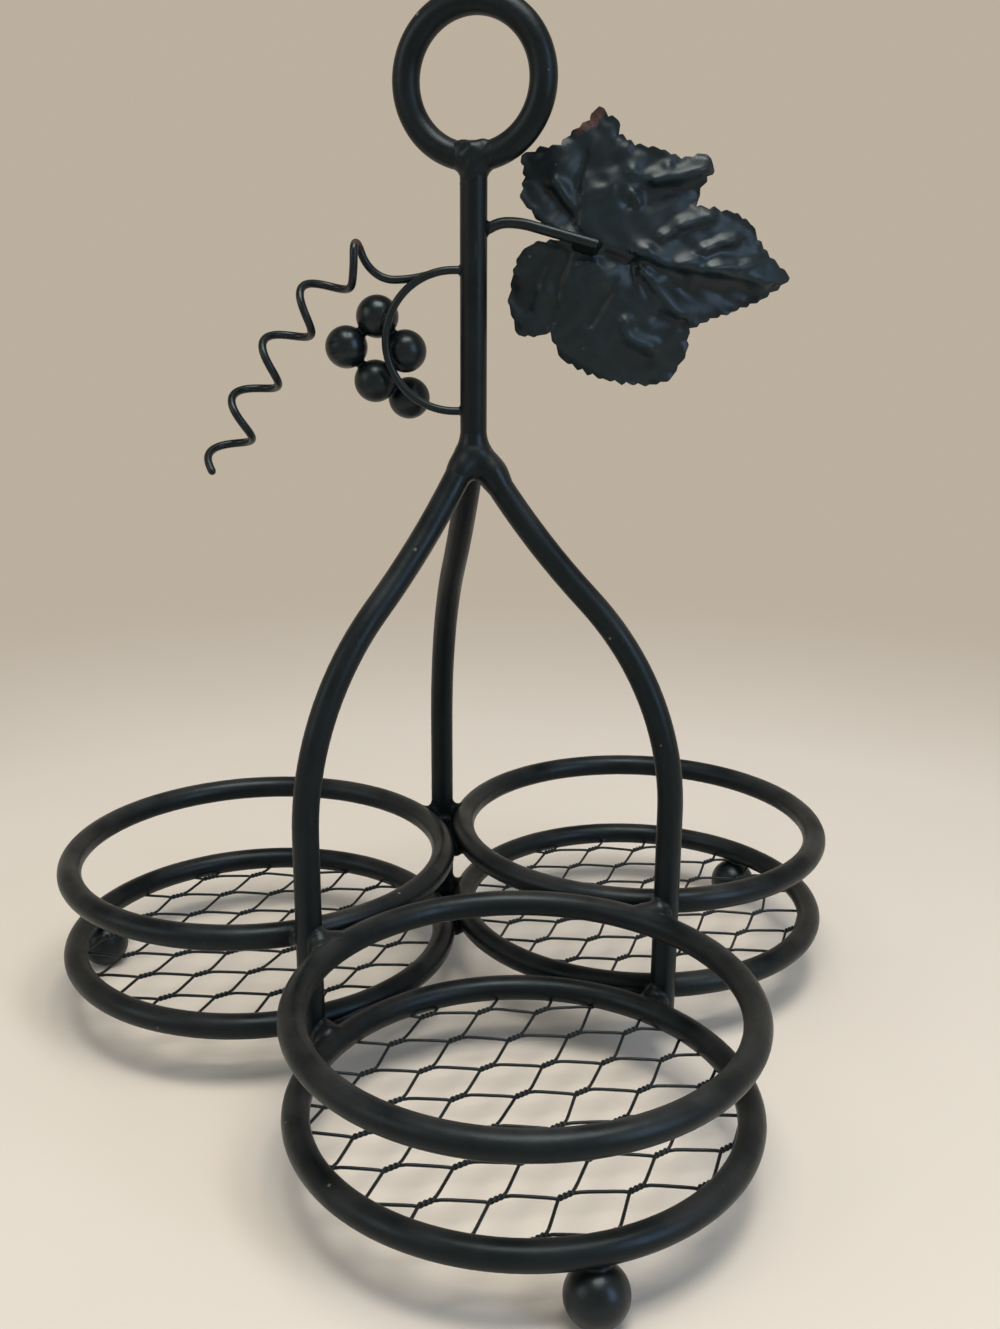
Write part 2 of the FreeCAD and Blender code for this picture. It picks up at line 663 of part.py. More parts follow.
# The beads are shaped by the straight foot of each leg.
leg_feet = []
for index, side in enumerate(LEG_NAMES):
    foot = add("Part::Cylinder", f"leg_foot_{side}", Radius="layout.rod_radius",
               Height="sizes.ring_rise + sizes.leg_straight", z="layout.leg_foot",
               **on_circle("layout.leg_offset", index * STEP_ANGLE))
    foot.Placement.Rotation = upright_turn(index * STEP_ANGLE)
    leg_feet.append(foot)
frame_rods = {level: group(f"{level}_rods", rings[level] + leg_feet) for level in rings}
ring_welds = [cut(f"{level}_ring_welds", ring_leg_beads(level), frame_rods[level]) for level in rings]


def ring_seams(level):
    """Sleeves of weld where each ring's rod was closed, just past a leg."""
    seams = []
    for side, angle in zip(RING_NAMES, ring_angles):
        seam = add("Part::Torus", f"{level}_seam_{side}", Radius1="sizes.ring_radius",
                   Radius2="layout.rod_radius + sizes.seam_proud", z=f"layout.{level}_height",
                   Angle3="sizes.seam_width / sizes.ring_radius * 180 / pi",
                   **on_circle("layout.ring_offset", angle))
        turn = angle + 180 + SEAM_SIDES[side] * number("seam_turn_angle")
        seam.Placement.Rotation = upright_turn(turn)
        seams.append(seam)
    return seams


seam_sleeves = group("seam_sleeves", ring_seams("lower") + ring_seams("upper"))
all_rings = group("all_rings", rings["lower"] + rings["upper"])
seam_welds = cut("ring_seam_welds", seam_sleeves, all_rings)

foot_posts = []
for side, angle in zip(RING_NAMES, ring_angles):
    foot_posts.append(add("Part::Cylinder", f"foot_bead_{side}", Radius="sizes.foot_bead_radius",
                          Height="sizes.foot_diameter / 2 + sizes.rod_diameter / 2", z="layout.foot_height",
                          **foot_place(angle)))
feet_and_rings = group("feet_and_rings", feet + rings["lower"])
foot_welds = cut("foot_welds", group("foot_beads", foot_posts), feet_and_rings)


def wire_bead(label, place):
    return add("Part::Sphere", label, Radius="sizes.wire_bead_radius", **place)


vine_beads = [wire_bead(f"vine_bead_{end}", on_vine_side("layout.rod_radius", "0", f"layout.vine_{end}"))
              for end in ("top", "bottom")]
vine_welds = cut("vine_welds", group("vine_beads", vine_beads), post, vine)

grape_beads = []
for index, (one, other) in enumerate(GRAPE_CONTACTS):
    halfway = [(a + b) / 2 for a, b in zip(GRAPE_SHARES[one][1:], GRAPE_SHARES[other][1:])]
    grape_beads.append(wire_bead(f"grape_bead_{index}", grape_place(*halfway)))
touch_outwards = "sizes.vine_stub + sizes.vine_radius * cos(sizes.grape_top_angle)"
touch_up = "layout.vine_middle + sizes.vine_radius * sin(sizes.grape_top_angle)"
touch_place = on_vine_side(touch_outwards, "sizes.vine_diameter / 2", touch_up)
grape_beads.append(wire_bead("grape_bead_vine", touch_place))
grape_welds = cut("grape_welds", group("grape_beads", grape_beads), group("grape_set", grapes), vine)

tendril_outwards = "sizes.vine_stub + sizes.vine_radius * cos(sizes.tendril_leave_angle)"
tendril_up = "layout.vine_middle + sizes.vine_radius * sin(sizes.tendril_leave_angle)"
tendril_touch = on_vine_side(tendril_outwards, "sizes.vine_diameter / 2", tendril_up)
tendril_bead = wire_bead("tendril_bead", tendril_touch)
tendril_weld = cut("tendril_weld", tendril_bead, vine, tendril)

stem_bead = wire_bead("stem_bead", {"x": "layout.rod_radius * cos(sizes.ornament_angle)",
                                    "y": "layout.rod_radius * sin(sizes.ornament_angle)",
                                    "z": "layout.stem_weld_level"})
LEAF_TURN = "sizes.ornament_angle"
leaf_bead = wire_bead("leaf_bead", {
    "x": f"layout.leaf_across * cos({LEAF_TURN}) - sizes.stem_diameter / 4 * sin({LEAF_TURN})",
    "y": f"layout.leaf_across * sin({LEAF_TURN}) + sizes.stem_diameter / 4 * cos({LEAF_TURN})",
    "z": "layout.leaf_height"})
leaf_welds = cut("leaf_welds", group("leaf_beads", [stem_bead, leaf_bead]), post, stem, leaf)

NODES = [handle, post, *legs, *rings["upper"], *rings["lower"], *nets, *feet,
         vine, *grapes, tendril, stem, leaf,
         handle_weld, crown_weld, *ring_welds, seam_welds, foot_welds,
         vine_welds, grape_welds, tendril_weld, leaf_welds]

doc.recompute()
for item in doc.Objects:
    if "Invalid" in item.State or "Error" in item.State:
        raise RuntimeError(f"{item.Label} failed: {item.State}")
for node in NODES:
    if node.Shape.isNull() or not node.Shape.isValid() or not node.Shape.Solids:
        raise RuntimeError(f"{node.Label} has no sound solid")

os.makedirs("parts", exist_ok=True)
for node in NODES:
    node.Shape.exportStep(f"parts/{node.Label}.step")
    print(node.Label, len(node.Shape.Solids), "solids", round(node.Shape.Volume, 2), "mm3")
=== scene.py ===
"""Bottle caddy of painted steel rod, dressed round its packed frame.

Laid out as an add-on and run as a script: each piece or group of like pieces has its own operator."""
import math
import random
from typing import NamedTuple

import bpy
import numpy as np
from bpy.props import FloatProperty, FloatVectorProperty, IntProperty, PointerProperty
from bpy.types import Operator, Panel, PropertyGroup
from mathutils import Matrix, Vector, geometry


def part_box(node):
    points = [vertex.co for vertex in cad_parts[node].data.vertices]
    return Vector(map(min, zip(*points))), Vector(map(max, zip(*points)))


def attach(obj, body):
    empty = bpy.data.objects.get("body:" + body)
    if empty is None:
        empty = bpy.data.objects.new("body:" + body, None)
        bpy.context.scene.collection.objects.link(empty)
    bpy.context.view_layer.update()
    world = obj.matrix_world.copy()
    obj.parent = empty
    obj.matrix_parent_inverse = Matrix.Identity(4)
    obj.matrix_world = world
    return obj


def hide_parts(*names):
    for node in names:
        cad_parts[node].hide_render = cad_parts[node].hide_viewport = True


bl_info = {
    "name": "Bottle Caddy",
    "version": (1, 0, 0),
    "blender": (4, 5, 0),
    "location": "View3D > Sidebar > Caddy",
    "description": "Dresses a welded rod caddy with netting, weld metal, a wire tendril and a pressed leaf",
    "category": "Add Mesh",
}

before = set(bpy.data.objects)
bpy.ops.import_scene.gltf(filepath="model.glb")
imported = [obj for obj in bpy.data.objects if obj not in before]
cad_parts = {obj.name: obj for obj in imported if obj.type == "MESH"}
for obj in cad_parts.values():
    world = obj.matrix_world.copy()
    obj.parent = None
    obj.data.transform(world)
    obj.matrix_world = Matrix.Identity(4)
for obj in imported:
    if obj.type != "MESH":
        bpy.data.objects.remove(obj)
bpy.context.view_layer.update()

MM = 0.001
BODY = "root"
RINGS = ("right", "left", "front")
LEGS = ("right", "back", "left")
LEVELS = ("lower", "upper")
GRAPES = ("top", "outer", "inner", "bottom", "low")
GRAPE_CONTACTS = (("top", "outer"), ("top", "inner"), ("outer", "bottom"), ("inner", "bottom"),
                  ("bottom", "low"))
LEG_STEP = 2 * math.pi / 3
LEAF_TURN = math.radians(18.5)
VINE_TURN = LEAF_TURN + math.pi


def middle_of(node):
    low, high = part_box(node)
    return (low + high) / 2 / MM


def span_of(node):
    low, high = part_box(node)
    return (high - low) / MM


def leg_way(index):
    """Direction from the post to a leg, in plan."""
    return Vector((math.cos(index * LEG_STEP), math.sin(index * LEG_STEP), 0))


# Places and sizes in millimetres, read from the frame where its boxes give them
ROD = span_of("handle_ring").y / 2
HANDLE = middle_of("handle_ring")
HANDLE_RADIUS = span_of("handle_ring").x / 2 - ROD
RING_RADIUS = span_of("lower_ring_front").x / 2 - ROD
LEG_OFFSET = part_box("leg_right")[1].x / MM - ROD
NET_LEVEL = middle_of("net_front").z
POST_SINK = 5.2
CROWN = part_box("center_post")[0].z / MM + POST_SINK
LEG_TOP_ANGLE = math.radians(32.0)
LEG_SWEEP_RADIUS = 182.0
FOOT_RADIUS = span_of("foot_ball_front").x / 2
GRAPE_RADIUS = span_of("grape_top").x / 2
VINE_WIRE = 0.9
VINE_STUB = 4.3
VINE_MIDDLE = middle_of("vine_wire").z
VINE_RADIUS = span_of("vine_wire").z / 2 - VINE_WIRE
GRAPE_TOP_ANGLE = math.radians(16.5)
STEM_WIRE = 1.2
STEM_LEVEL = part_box("leaf_stem")[1].z / MM - STEM_WIRE
STEM_RUN = 7.5
STEM_ARCH_RISE = 1.0
STEM_DROOP = math.radians(15.0)
LEAF_OUT = 26.97
LEAF_BACK = 1.35
LEAF_DROP = 4.51
LEAF_PLACE = Vector((LEAF_OUT, LEAF_BACK, STEM_LEVEL - LEAF_DROP))

# Lumps of weld metal on the handle, from the ring's lowest point: across, back, up and radius
HANDLE_LUMPS = ((0.3, -2.2, 1.8, 1.3), (-1.0, -2.3, 0.3, 1.2), (0.6, -2.4, -1.6, 1.2), (0.1, -2.3, -3.0, 1.0),
                (-2.2, -1.2, 2.3, 1.2), (2.4, -0.9, 2.6, 1.1), (0.4, 2.3, 1.0, 1.4), (-0.8, 2.4, -1.4, 1.3))
# Ends of the handle's bead from that point, and the raised line round the post below it
HANDLE_BEAD_ENDS = (-1.6, 0.6)
HANDLE_FILLET = 2.0
HANDLE_LUMP_FILLET = 1.2
HANDLE_LINE_DROP = 5.4
HANDLE_LINE_SINK = 0.12
HANDLE_LINE_WIRE = 0.26
HANDLE_LINE_FILLET = 0.2
HANDLE_LINE_REACH = 0.6

# Crown: where the legs start above it, how much of their sweep the bead takes in, and how far it goes down
CROWN_START = 2.0
CROWN_DEGREES = 9
CROWN_POST_DROP = 3.0
CROWN_BEAD_DROP = 7.0
CROWN_FILLET = 3.0
POST_FILLET = 0.6
# Swellings of the legs' shoulders at the crown: out from the post, below the crown, and radius
CROWN_SHOULDERS = {
    "right": ((4.0, 5.8, 3.0), (5.2, 7.6, 2.8)),
    "back": ((3.0, 4.2, 3.0),),
    "left": ((3.0, 5.4, 2.8),),
}
SHOULDER_FILLET = 2.0

# Weld lumps on the side of the front ring: from the leg's axis to that ring, inwards along it, up, and radius
JOINT_LUMPS = {
    ("right", "upper"): ((2.9, 0.4, 1.9, 2.2), (4.6, 2.8, 1.2, 2.3), (4.8, -2.0, 0.6, 2.3)),
    ("right", "lower"): ((2.8, 1.2, 1.9, 2.1), (4.8, -1.8, 0.6, 2.3)),
    ("left", "upper"): ((3.0, 0.0, 2.3, 2.2), (4.8, 2.6, 1.0, 2.3), (5.0, -2.6, 0.4, 2.5)),
    ("left", "lower"): ((5.4, -1.0, 1.5, 2.6), (3.4, 0.6, 2.0, 2.0), (5.4, -3.2, 0.3, 2.6)),
}
JOINT_LUMP_FILLET = 1.4
# Fillets between a leg and its rings and between the rings, and the web of weld metal between them: where it
# starts from the leg's axis, how far it runs past where the rings pass each other, and how far below them
JOINT_FILLET = 3.4
RING_FILLET = 0.4
WEB_RADIUS = {"lower": 2.0, "upper": 1.6}
WEB_START = 2.0
WEB_PAST = 3.5
WEB_SINK = 2.2
# How far each ring's butt joint lies round from the side that faces the post, and how far it stands out
SEAM_TURNS = {"right": math.radians(-60.0), "left": math.radians(60.0), "front": math.radians(60.0)}
SEAM_RISE = 0.2
FOOT_FILLET = 1.5

# Beads on the ornament: fillets, and the stretches of wire that they are worked out on, with arcs in radians
WIRE_FILLET = 0.8
GRAPE_FILLET = 1.1
STEM_FILLET = 0.9
VINE_STUB_PAST = 2.0
GRAPE_ARC = (-0.2, 0.9)
TENDRIL_ARC = (-0.5, 0.4)
TENDRIL_WELD_POINTS = 18
STEM_END_RUN = 9.0
# Lumps of weld metal round the end of the leaf's stem: along, back, up, radius and fillet
LEAF_LUMPS = ((-0.6, 1.3, 0.0, 1.5, 0.6), (-2.6, 1.3, 0.7, 1.3, 0.6), (-0.9, 0.5, -1.3, 1.2, 0.5),
              (-2.6, 0.6, -1.0, 1.2, 0.5), (-4.4, 0.7, -0.4, 1.1, 0.5))
LEAF_BEAD_ENDS = ((-4.2, 0.5, 1.04), (-0.8, 0.5, 0.36))


# How far below the axis of a rod or the middle of a ball a bead sinks past its reach
ROD_SINK = 1.5
BALL_SINK = 1.0


class Bead(NamedTuple):
    """Weld bead in millimetres: seed of its lumps, reach from its line, lumps as a share of the finish's weld
    lumps, how proud it stands, over what stretch it fades into the rods, mesh step, and how far it sinks."""
    seed: int
    reach: float
    lumps: float
    proud: float = -0.1
    fade: float = 3.0
    step: float = 0.4
    sink: float = ROD + ROD_SINK


WIRE_BEAD = {"lumps": 0.3, "proud": -0.06, "fade": 1.4, "step": 0.24}
GRAPE_BEAD = {**WIRE_BEAD, "lumps": 0.0, "sink": GRAPE_RADIUS + BALL_SINK}
BEADS = {
    "handle": Bead(3, 5.6, 0.35, step=0.32),
    "handle_line": Bead(4, ROD + HANDLE_LINE_REACH, 0.1, fade=0.8, step=0.24),
    "crown": Bead(5, 9.0, 0.4, fade=4.0, step=0.34),
    "ring": Bead(60, 7.0, 0.5),
    "seam": Bead(80, 1.8, 1.0, proud=0.06, fade=2.0, step=0.36),
    "foot": Bead(90, 3.6, 0.4, fade=2.0, step=0.32, sink=FOOT_RADIUS + BALL_SINK),
    "vine": Bead(100, 2.0, **WIRE_BEAD),
    "grape": Bead(110, 2.2, **GRAPE_BEAD),
    "grape_top": Bead(119, 2.0, **GRAPE_BEAD),
    "tendril": Bead(121, 2.1, **WIRE_BEAD),
    "stem": Bead(131, 2.2, **WIRE_BEAD),
    "leaf": Bead(137, 2.6, **WIRE_BEAD),
}
# Length of rod that a bead is worked out on; the waves that its lumps are made of, their spread and paces
# over its reach; and how far lumps stray from a corner between rods
BEAD_RUN = 70.0
BEAD_WAVES = 7
BEAD_WAVE_SPREAD = 2.6
BEAD_PACES = (2.7, 7.8)
BEAD_CORNER = 0.5

# Tendril from the vine to the coil, as shares of the coil's pitch: short of the coil's start, and below it
TENDRIL_SHARES = ((0.48, 0.46), (-0.03, 0.05), (-0.11, 0.09))
# Coil's start, out from the vine's stub and up from its middle, and the angles and shares that lead to it
TENDRIL_REACH = 20.1
TENDRIL_LIFT = 19.6
TENDRIL_LEAVE = math.radians(72.0)
TENDRIL_START_ANGLE = math.radians(42.0)
TENDRIL_PHASE = math.radians(161.0)
TENDRIL_CLIMB_ANGLE = math.radians(72.0)
TENDRIL_FRONT_SHARE = 0.75
TENDRIL_FIRST_QUARTER = 2
TENDRIL_GAP = 0.15
TENDRIL_SIDES = 14
BEND_POINTS = 13
STRAIGHT_ANGLE = 0.05
# The coil's bends are eased from a few points after the hairpin on
EASE_AFTER = 8
COIL_EASE = 28
# Domed ends of wires
DOME_ANGLES = (math.radians(66.0), math.radians(36.0))

# Netting: rows and columns past the ring, sides of a wire, points in a turn and in the run between twists,
# shortest run that is kept, how far the wires run into the ring as a share of its rod, and how far twists
# stray upwards as a share of the unevenness
NET_ROWS_PAST = 1
NET_COLUMNS_PAST = 2
NET_SIDES = 7
NET_TURN_POINTS = 8
NET_RUN_POINTS = 3
NET_SHORTEST = 6
NET_RIM_SHARE = 0.45
NET_LIFT_SHARE = 0.6
NET_SEED = 19

# Leaf outline, as shares of its reach along the midrib and across it
LEAF_DROOP = math.radians(11.0)
LEAF_SHARES = (
    (-0.13, 0.0), (-0.31, -0.055), (-0.365, -0.115), (-0.38, -0.22), (-0.37, -0.37), (-0.295, -0.51),
    (-0.2, -0.495), (-0.14, -0.455), (-0.05, -0.585), (0.18, -0.64), (0.43, -0.625), (0.53, -0.575),
    (0.575, -0.43), (0.56, -0.305), (0.66, -0.235), (0.76, -0.18), (0.9, -0.095), (1.035, 0.045),
    (0.9, 0.12), (0.81, 0.19), (0.755, 0.255), (0.66, 0.285), (0.455, 0.28), (0.455, 0.37), (0.475, 0.43),
    (0.51, 0.465), (0.45, 0.535), (0.33, 0.485), (0.22, 0.505), (0.09, 0.5), (0.0, 0.535), (-0.02, 0.6),
    (-0.07, 0.605), (-0.125, 0.645), (-0.155, 0.575), (-0.235, 0.485), (-0.27, 0.43), (-0.45, 0.35),
    (-0.415, 0.25), (-0.41, 0.145), (-0.3, 0.055))
# Rounded tooth: places along its step, how far each stands out as a share of its depth, and how that varies
TOOTH_PEAK_SHARE = 0.65
LEAF_TOOTH = ((0.0, 0.0), (0.35, 0.55), (TOOTH_PEAK_SHARE, 1.0), (0.85, 0.6))
TOOTH_DEPTH_SHARES = (0.7, 1.15)
TOOTH_SEED = 7

# Pressed folds of the leaf in millimetres from the stem's end: rise, width on the left and on the right of
# the line that each follows, and that line
LEAF_FOLDS = (
    (2.1, 3.0, 1.2, ((10.0, -2.2), (13.0, -3.0), (17.0, -4.0), (21.0, -4.6), (30.0, -5.6), (34.0, -6.4),
                     (39.0, -7.8))),
    (0.6, 1.2, 1.0, ((18.5, -4.0), (22.5, -3.0))),
    (0.7, 1.2, 1.0, ((26.0, -5.1), (30.5, -3.9))),
    (0.8, 1.3, 1.0, ((32.6, -4.5), (37.0, -3.2))),
    (-1.5, 2.6, 4.2, ((20.0, -8.8), (26.0, -9.6), (34.0, -10.2))),
    (1.5, 1.7, 1.0, ((24.2, -0.9), (27.0, 0.3), (31.0, 1.2))),
    (1.5, 1.7, 1.1, ((18.8, 4.2), (21.0, 4.7), (25.0, 6.2))),
    (1.2, 1.4, 1.0, ((14.8, 1.9), (17.0, 2.9))),
    (2.1, 1.9, 1.3, ((12.4, 13.6), (16.0, 14.3), (19.0, 15.0), (24.0, 16.1))),
    (-1.0, 1.5, 3.2, ((11.4, 11.8), (15.0, 11.4), (21.6, 11.6))),
    (0.7, 1.6, 1.3, ((-2.2, 10.6), (0.5, 11.2), (2.8, 12.0))),
    (-0.5, 1.3, 1.6, ((-0.8, 16.2), (1.5, 16.8), (3.4, 17.4))),
    (-0.9, 2.2, 0.9, ((-4.2, 7.5), (-4.7, 11.0), (-4.2, 14.4), (-2.6, 18.6))),
    (-1.1, 0.9, 2.4, ((-10.3, 11.0), (-8.2, 8.2), (-5.4, 5.2))),
    (0.8, 1.4, 1.2, ((-9.4, 13.2), (-7.4, 10.8), (-5.4, 8.4))),
    (-1.1, 1.0, 2.2, ((2.0, -2.0), (5.0, -2.8), (7.6, -4.2), (8.4, -6.6))),
    (-1.0, 0.9, 2.0, ((8.6, -3.4), (10.6, -3.0), (12.4, -3.6))),
    (0.8, 1.0, 1.2, ((-3.4, -4.2), (-1.4, -4.2), (0.4, -4.1))),
    (-1.0, 1.1, 2.4, ((3.4, -9.8), (1.6, -12.4), (-0.6, -16.6))),
    (-0.8, 0.9, 2.2, ((-5.8, -1.4), (-7.4, -6.0), (-8.7, -11.0), (-9.6, -16.5))),
    (-0.6, 1.0, 2.4, ((-11.6, -4.5), (-13.4, -9.0), (-14.8, -14.0))),
    (1.3, 2.2, 1.2, ((10.6, -5.6), (13.4, -9.0), (16.2, -12.0), (19.4, -14.8))),
    (-0.8, 1.0, 2.2, ((14.4, -14.8), (17.0, -15.6), (20.0, -16.2))),
    (-0.6, 1.2, 1.4, ((11.0, -8.2), (11.8, -10.4))),
    (1.8, 1.9, 1.4, ((7.8, -19.8), (10.2, -21.2), (12.6, -22.2))),
)
# Pressed swellings: along, up, rise and width
LEAF_SWELLS = (
    (11.3, -0.6, 0.6, 1.2), (15.3, 16.7, 0.9, 1.2), (7.6, 15.2, 1.0, 1.5),
    (7.7, 10.7, 1.3, 1.5), (9.0, 8.9, 0.6, 0.8), (7.0, 8.6, -0.6, 1.3), (10.8, 8.6, -0.5, 1.3),
    (2.0, -7.8, 0.8, 2.6), (-18.0, -10.0, -1.5, 3.5), (-15.0, 16.0, -1.3, 3.5), (6.8, -16.4, 1.6, 1.7),
    (12.4, -25.0, -0.6, 1.8), (22.0, -8.0, 0.5, 1.6), (-12.5, -10.5, 0.5, 2.4), (1.0, -22.0, 0.5, 2.8),
    (-8.6, 16.6, 0.5, 2.4),
)
# Worn corner of the leaf: along, up and reach; how far back it lies; and the tendril's worn peak
LEAF_WORN = ((-0.1, 27.7, 2.6), (-1.3, 25.9, 2.5), (-2.8, 24.8, 2.4), (-4.2, 23.8, 2.2))
LEAF_WORN_BACK = 3.2
TENDRIL_WORN = 4.2
# Fine ripple of the sheet and curl of its rim: height, pace along and up, and how far the curl reaches
RIPPLE_HEIGHT = 0.18
RIPPLE_PACE = (0.9, 0.8)
RIPPLE_START = 0.7
RIPPLE_SWAY = 1.3
RIPPLE_SWAY_PACE = 0.5
CURL_HEIGHT = 0.5
CURL_PACE = (0.55, 0.8)
CURL_REACH = 1.4
# Mesh of the leaf: rows and clear strip along the edge as shares of its grain, how its points are joined into
# faces, and its rim
LEAF_INSIDE_FACES = 1
LEAF_MERGE = 1e-5
LEAF_ROW_SHARE = 0.866
LEAF_CLEAR_SHARE = 0.5
LEAF_RIM_SHARE = 0.22
LEAF_RIM_ANGLE = math.radians(60.0)
LEAF_SHARP_ANGLE = math.radians(62.0)

# Camera at the photograph's viewing angle
CAMERA_PLACE = (0.10506, -0.29442, 0.18473)
CAMERA_RIGHT = (0.9479, 0.31853, 0.00596)
CAMERA_UP = (-0.09279, 0.25813, 0.96164)
CAMERA_LENS = 37.03
CAMERA_SENSOR = 36.0

# Lamps in metres: place, width and depth, and colour; all are aimed at one place
LAMPS = {
    "top": ((0.14, -0.18, 0.95), (0.52, 0.40), (1.0, 0.95, 0.88)),
    "side": ((0.95, -0.35, 0.50), (0.35, 0.7), (0.52, 0.70, 1.0)),
    "front": ((-0.75, -0.75, 0.60), (0.6, 0.6), (1.0, 0.97, 0.93)),
}
LAMP_AIM = Vector((0.0, 0.0, 0.10))
SKY_COLOR = (0.93, 0.96, 1.0, 1.0)
# How high the backdrop starts and ends to darken, and how dark it gets
BACKDROP_RISE = (0.25, 0.70)
BACKDROP_TOP_SHARE = 0.30
# Round floor that turns clear towards its edge
FLOOR_SIDES = 96
FLOOR_RADIUS = 3.0
FLOOR_NOISE = (9.0, 3.0)
FLOOR_TONES = (0.985, 1.015)
FLOOR_ROUGHNESS = 0.75
FLOOR_SPECULAR = 0.2
FLOOR_REACH = 1.0
FLOOR_EDGE = (0.50, 0.76, 1.0, 0.0)


class CaddyNetting(PropertyGroup):
    """Twisted wire netting that floors each lower ring."""
    wire_diameter: FloatProperty(name="Wire Diameter", description="Thickness of one netting wire",
                                 default=0.00074, unit="LENGTH")
    cell_width: FloatProperty(name="Cell Width", description="Distance across between neighbouring twists",
                              default=0.0131, unit="LENGTH")
    cell_pitch: FloatProperty(name="Cell Pitch", description="Distance between rows of twists", default=0.012,
                              unit="LENGTH")
    twist_length: FloatProperty(name="Twist Length", description="Length over which two wires are wound",
                                default=0.0046, unit="LENGTH")
    twist_turns: IntProperty(name="Twist Turns", description="Full turns of the two wires in a twist",
                             default=2)
    twist_angle: FloatProperty(name="Twist Angle", description="Direction that the twists run in, in plan",
                               default=math.radians(52.8), subtype="ANGLE")
    shift_across: FloatProperty(name="Shift Across", description="Where the first twist lies across",
                                default=0.00135, unit="LENGTH")
    shift_along: FloatProperty(name="Shift Along", description="Where the first row lies along the twists",
                               default=0.00326, unit="LENGTH")
    sag: FloatProperty(name="Sag", description="How far the middle hangs below the rim", default=0.0007,
                       unit="LENGTH")
    unevenness: FloatProperty(name="Unevenness", description="How far a twist strays from its even place",
                              default=0.00045, unit="LENGTH")


class CaddyTendril(PropertyGroup):
    """Coiled wire that starts on the vine."""
    wire_diameter: FloatProperty(name="Wire Diameter", description="Thickness of the tendril's wire",
                                 default=0.0018, unit="LENGTH")
    coil_radius: FloatProperty(name="Coil Radius", description="Radius of the coil at the wire's centre",
                               default=0.00436, unit="LENGTH")
    pitch: FloatProperty(name="Pitch", description="Distance between turns", default=0.014, unit="LENGTH")
    turns: FloatProperty(name="Turns", description="Turns of the coil", default=4.25)
    droop_radius: FloatProperty(name="Droop Radius", description="Radius of the coil's drooping arc",
                                default=0.124, unit="LENGTH")


class CaddyLeaf(PropertyGroup):
    """Pressed sheet leaf."""
    reach: FloatProperty(name="Reach", description="Length from the stem's end to the tip", default=0.0438,
                         unit="LENGTH")
    thickness: FloatProperty(name="Thickness", description="Thickness of the sheet", default=0.0008,
                             unit="LENGTH")
    dome_radius: FloatProperty(name="Dome Radius", description="Radius that the whole leaf is bowed to",
                               default=0.11, unit="LENGTH")
    relief: FloatProperty(name="Relief", description="Strength of the pressed folds", default=1.0,
                          subtype="FACTOR")
    tooth_pitch: FloatProperty(name="Tooth Pitch", description="Distance between teeth", default=0.0028,
                               unit="LENGTH")
    tooth_depth: FloatProperty(name="Tooth Depth", description="How far a tooth stands out of the edge",
                               default=0.0008, unit="LENGTH")
    grain: FloatProperty(name="Grain", description="Spacing of the leaf's mesh points", default=0.0005,
                         unit="LENGTH")


class CaddyFinish(PropertyGroup):
    """Paint of the whole caddy."""
    rod_color: FloatVectorProperty(name="Rod Paint", description="Paint on the rods, balls and wires",
                                   default=(0.0036, 0.0054, 0.0062), subtype="COLOR", min=0.0, max=1.0)
    leaf_color: FloatVectorProperty(name="Leaf Paint", description="Paint on the leaf",
                                    default=(0.0036, 0.0104, 0.0146), subtype="COLOR", min=0.0, max=1.0)
    gloss_color: FloatVectorProperty(name="Gloss", description="Tint of what the paint mirrors",
                                     default=(0.74, 0.92, 1.0), subtype="COLOR", min=0.0, max=1.0)
    leaf_gloss: FloatVectorProperty(name="Leaf Gloss", description="Tint of what the leaf's paint mirrors",
                                    default=(0.84, 0.94, 0.95), subtype="COLOR", min=0.0, max=1.0)
    # Dust and specks; the same colour is laid on what faces up as dust together with painted light
    dust_and_top_light_color: FloatVectorProperty(name="Dust", description="Dust and small specks on the paint",
                                    default=(0.20, 0.195, 0.18), subtype="COLOR", min=0.0, max=1.0)
    worn_color: FloatVectorProperty(name="Worn Primer", description="Primer that shows where paint is worn",
                                    default=(0.052, 0.023, 0.017), subtype="COLOR", min=0.0, max=1.0)
    roughness: FloatProperty(name="Roughness", description="Roughness of the satin paint", default=0.36,
                             subtype="FACTOR", min=0.0, max=1.0)
    weld_roughness: FloatProperty(name="Weld Roughness", description="Roughness of the paint on weld metal",
                                  default=0.34, subtype="FACTOR", min=0.0, max=1.0)
    weld_lumps: FloatProperty(name="Weld Lumps", description="Height of the lumps in weld metal",
                              default=0.0003, unit="LENGTH")


class CaddyStudio(PropertyGroup):
    """Floor and light."""
    floor_color: FloatVectorProperty(name="Floor", description="Colour of the pale floor",
                                     default=(0.75, 0.685, 0.59), subtype="COLOR", min=0.0, max=1.0)
    backdrop_color: FloatVectorProperty(name="Backdrop", description="Colour behind the floor",
                                        default=(0.50, 0.43, 0.345), subtype="COLOR", min=0.0, max=1.0)
    top_power: FloatProperty(name="Top Light", description="Power of the large light above", default=7.0,
                             unit="POWER")
    side_power: FloatProperty(name="Side Light", description="Power of the cool light on the right",
                              default=3.6, unit="POWER")
    front_power: FloatProperty(name="Front Light", description="Power of the soft light on the left",
                               default=2.0, unit="POWER")
    sky_strength: FloatProperty(name="Sky", description="Strength of the even light all round", default=0.30)


# Meshes

def new_mesh(name, shells):
    """One mesh from shells of points in millimetres and faces."""
    points, faces = [], []
    for shell_points, shell_faces in shells:
        base = len(points)
        points += [Vector(point) * MM for point in shell_points]
        faces += [[base + corner for corner in face] for face in shell_faces]
    mesh = bpy.data.meshes.new(name)
    mesh.from_pydata(points, [], faces)
    mesh.validate()
    mesh.polygons.foreach_set("use_smooth", [True] * len(mesh.polygons))
    mesh.update()
    return mesh


